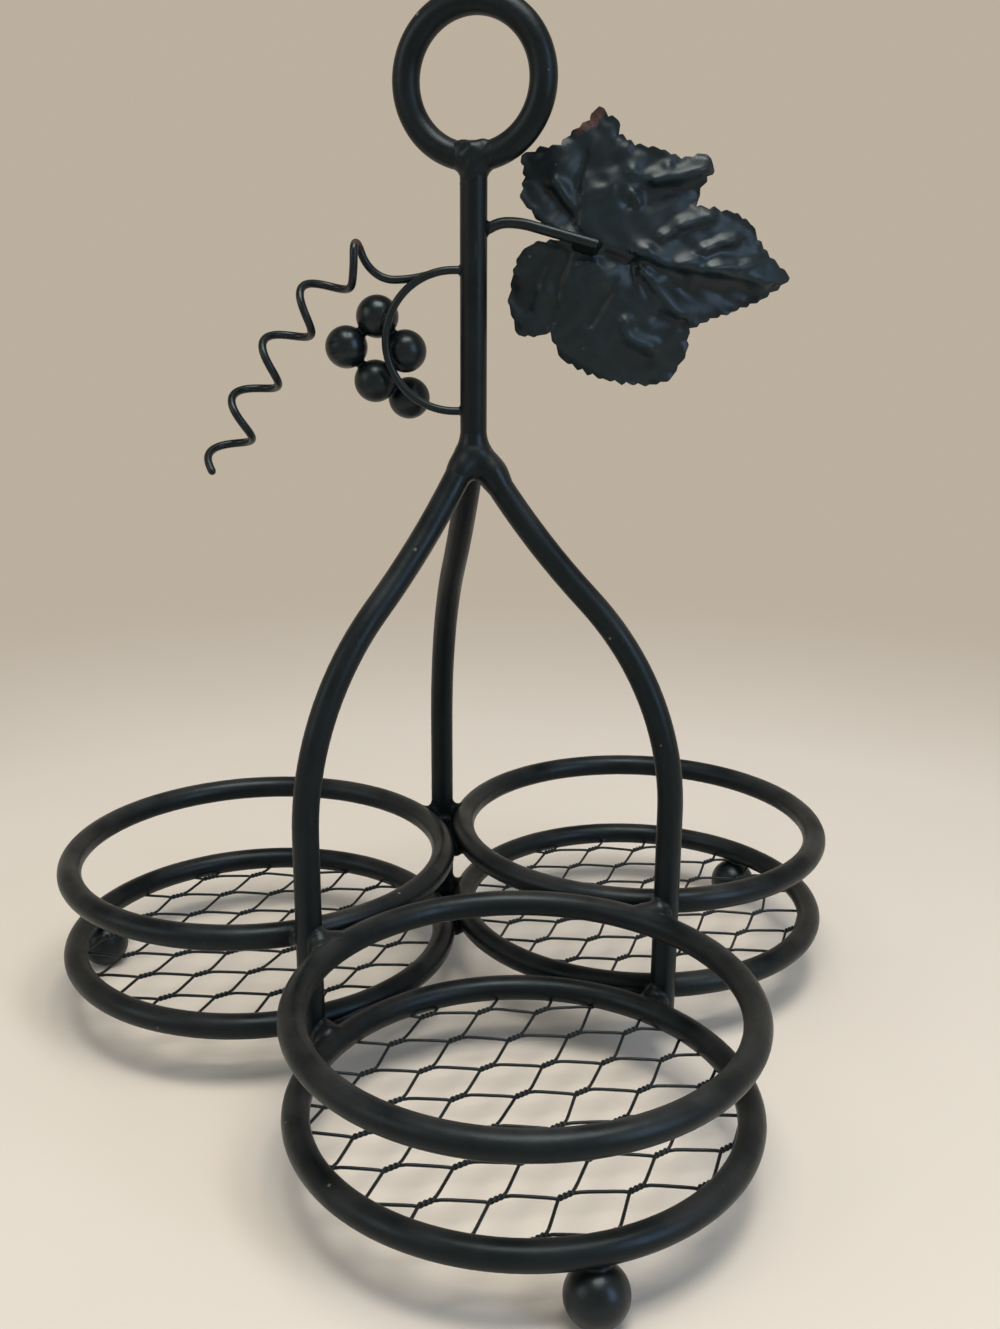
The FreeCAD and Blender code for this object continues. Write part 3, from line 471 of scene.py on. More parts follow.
def add_piece(name, mesh, material, slot, *nodes):
    """Puts a mesh into the scene on the frame's body, in place of CAD nodes."""
    piece = bpy.data.objects.new(name, mesh)
    bpy.context.scene.collection.objects.link(piece)
    mesh.materials.clear()
    mesh.materials.append(material)
    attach(piece, BODY)
    if nodes:
        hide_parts(*nodes)
    return piece


def dress_node(node, material):
    """Gives a CAD node its paint."""
    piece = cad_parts[node]
    if not piece.material_slots:
        piece.data.materials.append(material)
    for place in piece.material_slots:
        place.material = material


def tube_shell(path, radius, sides):
    """Round wire along a line of points, with domed ends."""
    count = len(path)
    headings = [(path[min(i + 1, count - 1)] - path[max(i - 1, 0)]).normalized() for i in range(count)]
    side = headings[0].orthogonal().normalized()
    stations = []
    for place, heading in zip(path, headings):
        side = (side - heading * side.dot(heading)).normalized()
        stations.append((place, heading, side, radius))
    domes = [(math.sin(angle), math.cos(angle)) for angle in DOME_ANGLES]
    (start, back, low_side, _), (end, on, high_side, _) = stations[0], stations[-1]
    head = [(start - back * radius * rise, back, low_side, radius * width) for rise, width in domes]
    tail = [(end + on * radius * rise, on, high_side, radius * width) for rise, width in reversed(domes)]
    stations = head + stations + tail
    points, faces = [], []
    for place, heading, across, width in stations:
        other = heading.cross(across)
        for corner in range(sides):
            turn = 2 * math.pi * corner / sides
            points.append(place + (across * math.cos(turn) + other * math.sin(turn)) * width)
    for ring in range(len(stations) - 1):
        for corner in range(sides):
            beside = (corner + 1) % sides
            low, high = ring * sides, (ring + 1) * sides
            faces.append((low + corner, low + beside, high + beside, high + corner))
    for pole, ring, flip in ((start - back * radius, 0, True), (end + on * radius, len(stations) - 1, False)):
        points.append(pole)
        for corner in range(sides):
            pair = (ring * sides + corner, ring * sides + (corner + 1) % sides)
            faces.append((*(reversed(pair) if flip else pair), len(points) - 1))
    return points, faces


def smooth_line(line, passes):
    """Eases the corners of a line of points; its ends stay."""
    for _ in range(passes):
        eased = [(a + b * 2 + c) / 4 for a, b, c in zip(line, line[1:], line[2:])]
        line = [line[0], *eased, line[-1]]
    return line


# Blended weld metal: each bead is the skin of a distance field in which the rods run into each other

def from_rod(start, end, radius, end_radius=None):
    """Distances from a rod with round ends, which can taper."""
    start, end = np.array(start), np.array(end)
    run = end - start
    taper = 0 if end_radius is None else end_radius - radius

    def distance(points):
        share = np.clip((points - start) @ run / max(run @ run, 1e-9), 0, 1)
        return np.linalg.norm(points - start - share[..., None] * run, axis=-1) - radius - taper * share
    return distance


def from_path(path, radius, start_radius=None):
    """Distances from a wire along a line of points, which can start thinner."""
    parts = [from_rod(a, b, radius) for a, b in zip(path, path[1:])]
    if start_radius:
        parts[0] = from_rod(path[0], path[1], start_radius, radius)
    return lambda points: np.minimum.reduce([part(points) for part in parts])


def from_ball(middle, radius):
    """Distances from a ball."""
    middle = np.array(middle)
    return lambda points: np.linalg.norm(points - middle, axis=-1) - radius


def from_ring(middle, ring_radius, radius, upright=False):
    """Distances from a ring of round rod that lies flat or stands upright."""
    middle = np.array(middle)
    axis = 1 if upright else 2
    plane = [0, 2] if upright else [0, 1]

    def distance(points):
        gap = points - middle
        out = np.hypot(gap[..., plane[0]], gap[..., plane[1]]) - ring_radius
        return np.hypot(out, gap[..., axis]) - radius
    return distance


def skin_shell(field, low, step):
    """Closed quad skin of a sampled field where it passes through zero."""
    sizes = [n - 1 for n in field.shape]
    corners = [(i, j, k) for i in (0, 1) for j in (0, 1) for k in (0, 1)]

    def at(corner):
        return field[tuple(slice(c, c + n) for c, n in zip(corner, sizes))]

    inside = sum((at(corner) < 0).astype(int) for corner in corners)
    mixed = (inside > 0) & (inside < len(corners))
    total = np.zeros((*sizes, 3))
    hits = np.zeros(sizes)
    for one in corners:
        for axis in range(3):
            if one[axis]:
                continue
            other = tuple(1 if a == axis else c for a, c in enumerate(one))
            first, second = at(one), at(other)
            crossed = (first < 0) != (second < 0)
            share = first / np.where(crossed, first - second, 1)
            for a in range(3):
                total[..., a] += np.where(crossed, one[a] + (share if a == axis else 0), 0)
            hits += crossed
    cells = np.argwhere(mixed)
    number = np.full(sizes, -1)
    number[mixed] = np.arange(len(cells))
    points = (cells + total[mixed] / hits[mixed][:, None]) * step + np.array(low)
    faces = []
    for axis in range(3):
        b, c = (axis + 1) % 3, (axis + 2) % 3
        lower = [slice(None)] * 3
        upper = [slice(None)] * 3
        lower[axis], upper[axis] = slice(0, -1), slice(1, None)
        first, second = field[tuple(lower)] < 0, field[tuple(upper)] < 0
        for cell in np.argwhere(first != second):
            if cell[b] == 0 or cell[c] == 0 or cell[b] >= sizes[b] or cell[c] >= sizes[c]:
                continue
            quad = []
            for step_b, step_c in ((-1, -1), (0, -1), (0, 0), (-1, 0)):
                near = cell.copy()
                near[b] += step_b
                near[c] += step_c
                quad.append(int(number[tuple(near)]))
            faces.append(quad if first[tuple(cell)] else quad[::-1])
    return [Vector(point) for point in points], faces


def run_together(one, other, fillet):
    """Two distance fields as one, with a round fillet in the corner between them."""
    round_off = np.hypot(np.maximum(fillet - one, 0), np.maximum(fillet - other, 0))
    return np.maximum(fillet, np.minimum(one, other)) - round_off


def bead_shell(parts, start, end, bead, number=0):
    """Weld bead along a line: fills the corners between parts within its reach and sinks into them past it.

    Each part is a distance field and the fillet with which it runs into the parts before it."""
    edge = bead.reach + bead.fade + 2 * bead.step
    low = np.minimum(start, end) - edge
    counts = ((np.maximum(start, end) + edge - low) / bead.step).astype(int) + 2
    axes = [low[axis] + bead.step * np.arange(counts[axis]) for axis in range(3)]
    grid = np.stack(np.meshgrid(*axes, indexing="ij"), -1)
    distances = [part(grid) for part, _ in parts]
    field = distances[0]
    for distance, (_, fillet) in zip(distances[1:], parts[1:]):
        field = run_together(field, distance, fillet)
    far = np.clip(from_rod(start, end, bead.reach)(grid) / bead.fade, 0, 1)
    second = np.sort(np.stack(distances), 0)[min(1, len(parts) - 1)]
    corner = np.exp(-np.clip(second, 0, None) / (parts[-1][1] / 2 + BEAD_CORNER))
    draw = random.Random(bead.seed + number)
    waves = np.zeros(field.shape)
    for _ in range(BEAD_WAVES):
        way = np.array([draw.uniform(-1, 1) for _ in range(3)])
        pace = draw.uniform(*BEAD_PACES) / bead.reach
        waves += np.sin(grid @ way * pace + draw.uniform(0, 2 * math.pi))
    lumps = bpy.context.scene.caddy_finish.weld_lumps / MM * bead.lumps
    field = field + lumps * waves / BEAD_WAVE_SPREAD * corner * (1 - far) - bead.proud
    field += far * far * (3 - 2 * far) * bead.sink
    for axis in range(3):
        for side in (0, -1):
            place = [slice(None)] * 3
            place[axis] = side
            field[tuple(place)] = np.maximum(field[tuple(place)], bead.step)
    return skin_shell(field, low, bead.step)


# Paint

# Scale, detail and roughness of each noise, the range of it that counts, and what that range is turned into
MOTTLE_NOISE = (170.0, 4.0, 0.6)
MOTTLE_RANGE = (0.3, 0.7)
MOTTLE_TONES = (0.72, 1.35)
# Leaf: painted shade, darker where the relief sinks into a hollow
HOLLOW_SHADE_RANGE = (-0.0011, 0.0002, 0.6, 0.0)
HOLLOW_SHADE_TONE = 0.35
# Leaf: lighter where the relief rises, worn paint on the ridges together with a painted highlight
RIDGE_RANGE = (0.0005, 0.0014, 0.0, 0.35)
RIDGE_TONE = 3.2
# Dust together with painted light: what faces up is lighter
TOP_DUST_AND_LIGHT_NOISE = (60.0, 3.0)
TOP_DUST_AND_LIGHT_RANGE = (0.35, 0.7)
TOP_DUST_AND_LIGHT_SLOPES = (0.25, 1.0, 0.0)
SPECK_SCALE = 170.0
SPECK_SIZES = (0.045, 0.075, 1.0, 0.0)
SPECK_CHOICE = (0.66, 0.74, 0.0)
SPECK_SHARE = 0.6
LEAF_SPECK_SHARE = 0.3
SPECK_ROUGHER = 0.3
SPECK_HEIGHT = 0.8
STREAK_NOISE = (1.0, 2.0, 0.5, (900.0, 900.0, 60.0))
STREAK_RANGE = (0.70, 0.76, 0.0, 0.05)
WORN_NOISE = (420.0, 4.0, 0.65)
WORN_RAGGED = 0.5
WORN_RANGE = (0.62, 0.74)
WORN_ROUGHER = 0.35
GLOSS_NOISE = (95.0, 3.0)
GLOSS_SPREAD = (-0.06, 0.10)
GRAIN_DETAIL = 3.0
GRAIN_STRENGTH = 0.35


class Paint(NamedTuple):
    """Share of its colour, what it adds to the roughness, scale and depth of its grain, gloss, and dust
    together with painted light on what faces up.
    """
    tone: float
    rougher: float
    grain: float
    depth: float
    ior: float = 1.42
    # dust together with painted light on what faces up
    top_dust_and_light: float = 0.07


PAINTS = {
    "rod_satin": Paint(1.0, 0.0, 900.0, 0.00012, ior=1.33, top_dust_and_light=0.16),
    "weld_satin": Paint(1.0, 0.0, 620.0, 0.00008, ior=1.36, top_dust_and_light=0.12),
    # darker, duller paint that stands as painted shade on the back leg's ring joints and the leaf's stem
    # welds
    "joint_matt": Paint(0.4, 0.15, 620.0, 0.00006, ior=1.2, top_dust_and_light=0.0),
    "net_satin": Paint(0.9, 0.05, 1600.0, 0.00008),
    "ball_satin": Paint(1.05, -0.02, 1100.0, 0.00008),
    "wire_satin": Paint(0.95, -0.03, 1300.0, 0.00004, top_dust_and_light=0.03),
    "leaf_satin": Paint(1.0, 0.03, 800.0, 0.00010),
}


class NodeTree:
    """A node tree, with short ways to add and join nodes."""

    def __init__(self, tree):
        self.tree = tree
        self.tree.nodes.clear()

    def add(self, kind, **values):
        node = self.tree.nodes.new(kind)
        for name, value in values.items():
            setattr(node, name, value)
        return node

    def join(self, out, into):
        self.tree.links.new(out, into)

    def ramp(self, value, low, high, to_low=0.0, to_high=1.0):
        node = self.add("ShaderNodeMapRange")
        for name, amount in (("From Min", low), ("From Max", high), ("To Min", to_low), ("To Max", to_high)):
            node.inputs[name].default_value = amount
        self.join(value, node.inputs["Value"])
        return node.outputs["Result"]

    def math(self, operation, one, other):
        node = self.add("ShaderNodeMath", operation=operation)
        for index, value in enumerate((one, other)):
            if isinstance(value, (int, float)):
                node.inputs[index].default_value = value
            else:
                self.join(value, node.inputs[index])
        return node.outputs["Value"]

    def mix(self, share, one, other):
        """Mixes two colours, each a socket or three values."""
        node = self.add("ShaderNodeMix", data_type="RGBA")
        self.join(share, node.inputs[0])
        for index, color in ((6, one), (7, other)):
            if hasattr(color, "is_output"):
                self.join(color, node.inputs[index])
            else:
                node.inputs[index].default_value = (*color, 1.0)
        return node.outputs[2]

    def blend(self, share, one, other, output):
        """Mixes two shaders into an output."""
        node = self.add("ShaderNodeMixShader")
        for index, out in enumerate((share, one, other)):
            self.join(out, node.inputs[index])
        self.join(node.outputs["Shader"], output.inputs["Surface"])


class PaintNodes(NodeTree):
    """A material's nodes round one painted shader."""

    def __init__(self, name):
        self.material = bpy.data.materials.new(name)
        self.material.use_nodes = True
        super().__init__(self.material.node_tree)
        self.shader = self.add("ShaderNodeBsdfPrincipled")
        self.output = self.add("ShaderNodeOutputMaterial")
        self.join(self.shader.outputs["BSDF"], self.output.inputs["Surface"])
        self.place = self.add("ShaderNodeTexCoord").outputs["Object"]

    def noise(self, scale, detail, rough=0.5, stretch=None):
        node = self.add("ShaderNodeTexNoise")
        for name, value in (("Scale", scale), ("Detail", detail), ("Roughness", rough)):
            node.inputs[name].default_value = value
        place = self.place
        if stretch:
            mapping = self.add("ShaderNodeMapping")
            mapping.inputs["Scale"].default_value = stretch
            self.join(self.place, mapping.inputs["Vector"])
            place = mapping.outputs["Vector"]
        self.join(place, node.inputs["Vector"])
        return node.outputs["Fac"]

    def near(self, middle, reach):
        """Share that falls from one at a place to zero at its reach."""
        node = self.add("ShaderNodeVectorMath", operation="DISTANCE")
        self.join(self.place, node.inputs[0])
        node.inputs[1].default_value = middle
        return self.ramp(node.outputs["Value"], 0.0, reach, 1.0, 0.0)


def scaled(color, share):
    return tuple(min(1.0, part * share) for part in color)


def worn_places(name):
    """Places where a paint has worn off, and how far each reaches, in metres."""
    if name == "wire_satin":
        return [(tuple(tendril_peak() * MM), TENDRIL_WORN * MM)]
    if name == "leaf_satin":
        return [(tuple(leaf_to_caddy(along, up, LEAF_WORN_BACK) * MM), reach * MM)
                for along, up, reach in LEAF_WORN]
    return []


def make_paint(name):
    """Satin paint with mottling, specks of dust, dust together with painted light on what faces up, and worn
    places; on the leaf, painted shade in hollows and worn paint with a painted highlight on ridges.
    """
    finish = bpy.context.scene.caddy_finish
    look = PAINTS[name]
    leaf = name == "leaf_satin"
    color = scaled(finish.leaf_color if leaf else finish.rod_color, look.tone)
    roughness = (finish.weld_roughness if name == "weld_satin" else finish.roughness) + look.rougher
    dust = tuple(finish.dust_and_top_light_color)
    paint = PaintNodes(name)
    mottle = paint.ramp(paint.noise(*MOTTLE_NOISE), *MOTTLE_RANGE)
    tone = paint.mix(mottle, *(scaled(color, share) for share in MOTTLE_TONES))
    if leaf:
        fold = paint.add("ShaderNodeAttribute", attribute_name="relief").outputs["Fac"]
        # painted shade: the leaf darkens where its relief sinks into a hollow
        tone = paint.mix(paint.ramp(fold, *HOLLOW_SHADE_RANGE), tone, scaled(color, HOLLOW_SHADE_TONE))
        # lighter where the relief rises: worn paint on the ridges together with a painted highlight
        ridge_wear_and_highlight = paint.math("MULTIPLY", paint.ramp(fold, *RIDGE_RANGE), mottle)
        tone = paint.mix(ridge_wear_and_highlight, tone, scaled(color, RIDGE_TONE))

    normal = paint.add("ShaderNodeNewGeometry").outputs["Normal"]
    split = paint.add("ShaderNodeSeparateXYZ")
    paint.join(normal, split.inputs["Vector"])
    # dust together with painted light: faces that look up turn lighter
    dust_and_top_light_share = paint.math("MULTIPLY", paint.ramp(split.outputs["Z"], *TOP_DUST_AND_LIGHT_SLOPES, look.top_dust_and_light),
                       paint.ramp(paint.noise(*TOP_DUST_AND_LIGHT_NOISE), *TOP_DUST_AND_LIGHT_RANGE))
    tone = paint.mix(dust_and_top_light_share, tone, dust)

    cells = paint.add("ShaderNodeTexVoronoi")
    cells.inputs["Scale"].default_value = SPECK_SCALE
    paint.join(paint.place, cells.inputs["Vector"])
    chosen = paint.add("ShaderNodeSeparateColor")
    paint.join(cells.outputs["Color"], chosen.inputs["Color"])
    speck_share = LEAF_SPECK_SHARE if leaf else SPECK_SHARE
    speck = paint.math("MULTIPLY", paint.ramp(cells.outputs["Distance"], *SPECK_SIZES),
                       paint.ramp(chosen.outputs["Red"], *SPECK_CHOICE, speck_share))
    tone = paint.mix(speck, tone, dust)

    tone = paint.mix(paint.ramp(paint.noise(*STREAK_NOISE), *STREAK_RANGE), tone, dust)
    dull = paint.ramp(paint.noise(*GLOSS_NOISE), *MOTTLE_RANGE, *(roughness + more for more in GLOSS_SPREAD))
    dull = paint.math("ADD", dull, paint.math("MULTIPLY", speck, SPECK_ROUGHER))
    for middle, reach in worn_places(name):
        edge = paint.math("MULTIPLY", paint.noise(*WORN_NOISE), WORN_RAGGED)
        bare = paint.ramp(paint.math("ADD", paint.near(middle, reach), edge), *WORN_RANGE)
        tone = paint.mix(bare, tone, tuple(finish.worn_color))
        dull = paint.math("ADD", dull, paint.math("MULTIPLY", bare, WORN_ROUGHER))
    paint.join(tone, paint.shader.inputs["Base Color"])
    paint.join(dull, paint.shader.inputs["Roughness"])
    paint.shader.inputs["IOR"].default_value = look.ior
    gloss = finish.leaf_gloss if leaf else finish.gloss_color
    paint.shader.inputs["Specular Tint"].default_value = (*gloss, 1.0)

    grain = paint.noise(look.grain, GRAIN_DETAIL)
    bump = paint.add("ShaderNodeBump")
    bump.inputs["Strength"].default_value = GRAIN_STRENGTH
    bump.inputs["Distance"].default_value = look.depth
    paint.join(paint.math("ADD", grain, paint.math("MULTIPLY", speck, SPECK_HEIGHT)), bump.inputs["Height"])
    paint.join(bump.outputs["Normal"], paint.shader.inputs["Normal"])


def paint_of(name):
    """The caddy's paints, each made once."""
    if name not in bpy.data.materials:
        make_paint(name)
    return bpy.data.materials[name]


# Tendril and vine, laid out from the post: outwards, to the front, and up

def vine_to_caddy(point):
    return Matrix.Rotation(VINE_TURN, 3, "Z") @ Vector(point)


def coil_axis(turns):
    """Place on the coil's drooping axis after some turns, and how far it has bent down there."""
    tendril = bpy.context.scene.caddy_tendril
    droop = tendril.droop_radius / MM
    angle = TENDRIL_START_ANGLE + turns * tendril.pitch / tendril.droop_radius
    outwards = TENDRIL_REACH + VINE_STUB + droop * (math.sin(angle) - math.sin(TENDRIL_START_ANGLE))
    up = VINE_MIDDLE + TENDRIL_LIFT + droop * (math.cos(angle) - math.cos(TENDRIL_START_ANGLE))
    return Vector((outwards, 0, up)), angle


def coil_point(turns):
    middle, angle = coil_axis(turns)
    radius = bpy.context.scene.caddy_tendril.coil_radius / MM
    phase = TENDRIL_PHASE + 2 * math.pi * turns
    inwards = Vector((-math.sin(angle), 0, -math.cos(angle)))
    return middle + inwards * radius * math.cos(phase) - Vector((0, 1, 0)) * radius * math.sin(phase)


def coil_heading(turns):
    small = 1e-3
    return (coil_point(turns + small) - coil_point(turns - small)).normalized()


def tendril_line():
    """Centre line of the tendril: along the vine, over a hairpin, and down the coil."""
    tendril = bpy.context.scene.caddy_tendril
    behind = -VINE_WIRE - tendril.wire_diameter / MM / 2 - TENDRIL_GAP
    start = Vector((VINE_STUB + VINE_RADIUS * math.cos(TENDRIL_LEAVE), behind,
                    VINE_MIDDLE + VINE_RADIUS * math.sin(TENDRIL_LEAVE)))
    coil, _ = coil_axis(0)
    pitch = tendril.pitch / MM
    dip, climb, fall = [Vector((coil.x - short * pitch, behind, coil.z - below * pitch))
                        for short, below in TENDRIL_SHARES]
    fall.y = tendril.coil_radius / MM * TENDRIL_FRONT_SHARE
    level = Vector((1, 0, 0))
    leaving = ((dip - start) * 2 - level * (dip - start).dot(level)).normalized()
    rising = Vector((math.cos(TENDRIL_CLIMB_ANGLE), 0, math.sin(TENDRIL_CLIMB_ANGLE)))
    stations = [(start, leaving), (dip, level), (climb, rising), (fall, Vector((0, 0, -1)))]
    quarters = round(tendril.turns * 4)
    for quarter in range(TENDRIL_FIRST_QUARTER, quarters + 1):
        turns = tendril.turns * quarter / quarters
        stations.append((coil_point(turns), coil_heading(turns)))
    line = []
    for (first, leaving), (last, arriving) in zip(stations, stations[1:]):
        turn = leaving.angle(arriving)
        share = 1 / 3
        if turn > STRAIGHT_ANGLE:
            share = 4 / 3 * math.tan(turn / 4) / (2 * math.sin(turn / 2))
        pull = (last - first).length * share
        handles = first + leaving * pull, last - arriving * pull
        line += geometry.interpolate_bezier(first, *handles, last, BEND_POINTS)[:-1]
    return line + [stations[-1][0]]


def tendril_peak():
    return vine_to_caddy(max(tendril_line(), key=lambda point: point.z))


def vine_arc(begin, end, count=14):
    """Points of the vine wire's half round between two angles."""
    line = []
    for step in range(count + 1):
        angle = begin + (end - begin) * step / count
        line.append(vine_to_caddy((VINE_STUB + VINE_RADIUS * math.cos(angle), 0,
                                   VINE_MIDDLE + VINE_RADIUS * math.sin(angle))))
    return line


def stem_arch(count=16):
    """Points of the stem's arch from the post's axis to its level run."""
    half = STEM_RUN / 2
    radius = (half ** 2 + STEM_ARCH_RISE ** 2) / (2 * STEM_ARCH_RISE)
    line = []
    for step in range(count + 1):
        out = STEM_RUN * step / count
        run = out if out < half else STEM_RUN - out
        rise = radius - math.sqrt(radius ** 2 - run ** 2)
        line.append(Vector((out, 0, STEM_LEVEL - (2 * STEM_ARCH_RISE - rise if out < half else rise))))
    return line


# Leaf, laid out from the stem's end: along the ornament, to the back, and up

def leaf_turned(along, across):
    """A share of the leaf's reach as millimetres along and up, drooped."""
    reach = bpy.context.scene.caddy_leaf.reach / MM
    return (reach * (along * math.cos(LEAF_DROOP) + across * math.sin(LEAF_DROOP)),
            reach * (across * math.cos(LEAF_DROOP) - along * math.sin(LEAF_DROOP)))


def leaf_to_caddy(along, up, back=0.0):
    return Matrix.Rotation(LEAF_TURN, 3, "Z") @ (LEAF_PLACE + Vector((along, back, up)))


def leaf_edge():
    """Toothed outline, with teeth of uneven depth."""
    leaf = bpy.context.scene.caddy_leaf
    draw = random.Random(TOOTH_SEED)
    corners = [Vector(leaf_turned(*share)) for share in LEAF_SHARES]
    points = []
    for first, last in zip(corners, corners[1:] + corners[:1]):
        edge = last - first
        count = max(1, round(edge.length / (leaf.tooth_pitch / MM)))
        outside = Vector((edge.y, -edge.x)).normalized() * leaf.tooth_depth / MM
        for tooth in range(count):
            taper = min(1, tooth + TOOTH_PEAK_SHARE, count - tooth - 1 + TOOTH_PEAK_SHARE)
            taper *= draw.uniform(*TOOTH_DEPTH_SHARES)
            for along, out in LEAF_TOOTH:
                points.append(first + edge * ((tooth + along) / count) + outside * out * taper)
    return points


def inside_edge(points, edge):
    """Which points lie inside a closed outline, and how far each is from it."""
    inside = np.zeros(len(points), bool)
    nearest = np.full(len(points), np.inf)
    for first, last in zip(edge, np.roll(edge, -1, 0)):
        run = last - first
        share = np.clip((points - first) @ run / (run @ run), 0, 1)
        nearest = np.minimum(nearest, np.linalg.norm(points - first - share[:, None] * run, axis=1))
        spans = (first[1] > points[:, 1]) != (last[1] > points[:, 1])
        if run[1]:
            inside ^= spans & (points[:, 0] < first[0] + run[0] * (points[:, 1] - first[1]) / run[1])
    return inside, nearest


def leaf_relief(points):
    """Height of the pressed folds and swellings above the bowed sheet."""
    height = np.zeros(len(points))
    for rise, left_width, right_width, line in LEAF_FOLDS:
        nearest = np.full(len(points), np.inf)
        width = np.full(len(points), left_width)
        for first, last in zip(np.array(line), np.array(line[1:])):
            run = last - first
            gap = points - first
            share = np.clip(gap @ run / (run @ run), 0, 1)
            distance = np.linalg.norm(gap - share[:, None] * run, axis=1)
            on_left = run[0] * gap[:, 1] > run[1] * gap[:, 0]
            width = np.where(distance < nearest, np.where(on_left, left_width, right_width), width)
            nearest = np.minimum(nearest, distance)
        height += rise * np.exp(-(nearest / width) ** 2)
    for along, up, rise, width in LEAF_SWELLS:
        height += rise * np.exp(-((points[:, 0] - along) ** 2 + (points[:, 1] - up) ** 2) / width ** 2)
    along, up = points.T
    sway = RIPPLE_SWAY * np.sin(up * RIPPLE_SWAY_PACE)
    ripple = np.sin(along * RIPPLE_PACE[0] + sway) * np.sin(up * RIPPLE_PACE[1] + RIPPLE_START)
    return (height + RIPPLE_HEIGHT * ripple) * bpy.context.scene.caddy_leaf.relief


def leaf_mesh():
    """Bowed and pressed sheet with an even mesh, which keeps its relief for the paint's painted shade in
    hollows and lighter ridges.
    """
    leaf = bpy.context.scene.caddy_leaf
    edge = leaf_edge()
    outline = np.array(edge)
    step = leaf.grain / MM
    low, high = outline.min(0), outline.max(0)
    grid = []
    for row in range(int((high[1] - low[1]) / (step * LEAF_ROW_SHARE)) + 1):
        for column in range(int((high[0] - low[0]) / step) + 1):
            grid.append((low[0] + (column + row % 2 / 2) * step, low[1] + row * step * LEAF_ROW_SHARE))
    grid = np.array(grid)
    inside, nearest = inside_edge(grid, outline)
    kept = grid[inside & (nearest > step * LEAF_CLEAR_SHARE)]
    flat = edge + [Vector(point) for point in kept]
    points, _, faces, *_ = geometry.delaunay_2d_cdt(flat, [], [list(range(len(edge)))],
                                                    LEAF_INSIDE_FACES, LEAF_MERGE)
    plan = np.array(points)
    rise = leaf_relief(plan)
    _, to_edge = inside_edge(plan, outline)
    curl = CURL_HEIGHT * np.exp(-(to_edge / CURL_REACH) ** 2) * np.sin(plan @ CURL_PACE)
    dome = leaf.dome_radius / MM
    back = dome - np.sqrt(dome ** 2 - (plan ** 2).sum(1)) - rise + curl
    places = [leaf_to_caddy(along, up, depth) for (along, up), depth in zip(plan, back)]
    mesh = new_mesh("leaf_pressed", [(places, [list(face) for face in faces])])
    attribute = mesh.attributes.new("relief", "FLOAT", "POINT")
    attribute.data.foreach_set("value", (rise * MM).astype(np.float32))
    return mesh


def thicken(piece, thickness):
    """Gives a sheet its thickness, behind the face that it shows, and rounds its rim."""
    solid = piece.modifiers.new("thickness", "SOLIDIFY")
    solid.thickness = thickness
    solid.offset = -1.0
    solid.use_even_offset = True
    solid.thickness_clamp = 0.0
    rim = piece.modifiers.new("rim", "BEVEL")
    rim.width = thickness * LEAF_RIM_SHARE
    rim.segments = 2
    rim.limit_method = "ANGLE"
    rim.angle_limit = LEAF_RIM_ANGLE
    graph = bpy.context.evaluated_depsgraph_get()
    mesh = bpy.data.meshes.new_from_object(piece.evaluated_get(graph))
    piece.modifiers.clear()
    piece.data = mesh
    mesh.set_sharp_from_angle(angle=LEAF_SHARP_ANGLE)


# Netting

def steps_over_ring(pitch, past):
    """Whole steps from a ring's middle that cover it, and some past it."""
    count = math.ceil(RING_RADIUS / pitch) + past
    return range(-count, count + 1)


def net_wires():
    """Lines of one disc's wires in its own plane, twisted in pairs, with the twists along Y."""
    net = bpy.context.scene.caddy_netting
    wire = net.wire_diameter / MM / 2
    half, pitch = net.cell_width / MM / 2, net.cell_pitch / MM
    length = net.twist_length / MM
    shift = Vector((net.shift_across, net.shift_along, 0)) / MM
    draw = random.Random(NET_SEED)
    rows, columns = steps_over_ring(pitch, NET_ROWS_PAST), steps_over_ring(half, NET_COLUMNS_PAST)
    stray = net.unevenness / MM
    twists = {}
    for row in rows:
        for column in columns:
            lift = draw.uniform(-NET_LIFT_SHARE, NET_LIFT_SHARE) * stray
            twists[row, column] = Vector((draw.uniform(-stray, stray), draw.uniform(-stray, stray), lift))
    steps = NET_TURN_POINTS * net.twist_turns
    wires = []
    for strand in columns[:-1]:
        line = []
        for row in rows:
            column = strand if (strand - row) % 2 else strand + 1
            side = 1 if column == strand else -1
            middle = shift + Vector((column * half, row * pitch, 0)) + twists[row, column]
            for step in range(steps + 1):
                share = step / steps
                turn = 2 * math.pi * net.twist_turns * share
                line.append(middle + Vector((side * wire * math.cos(turn), (share - 0.5) * length,
                                             side * wire * math.sin(turn))))
            line += [None] * NET_RUN_POINTS
        wires.append(ease_runs(line))
    return wires


def ease_runs(line):
    """Fills the gaps between twists with gently bent runs."""
    while line[-1] is None:
        line.pop()
    places = [index for index, point in enumerate(line) if point is not None]
    for before, after in zip(places, places[1:]):
        for index in range(before + 1, after):
            line[index] = line[before].lerp(line[after], (index - before) / (after - before))
    return smooth_line(line, 1)


def clip_wire(line, radius):
    """Runs of a wire that lie inside a circle, cut off at it."""
    runs, run = [], []
    for first, last in zip(line, line[1:]):
        near, far = first.xy.length, last.xy.length
        if near < radius:
            run.append(first)
        if (near < radius) != (far < radius):
            run.append(first.lerp(last, (radius - near) / (far - near)))
            if near < radius:
                runs.append(run)
                run = []
    return [run for run in runs if len(run) > NET_SHORTEST]


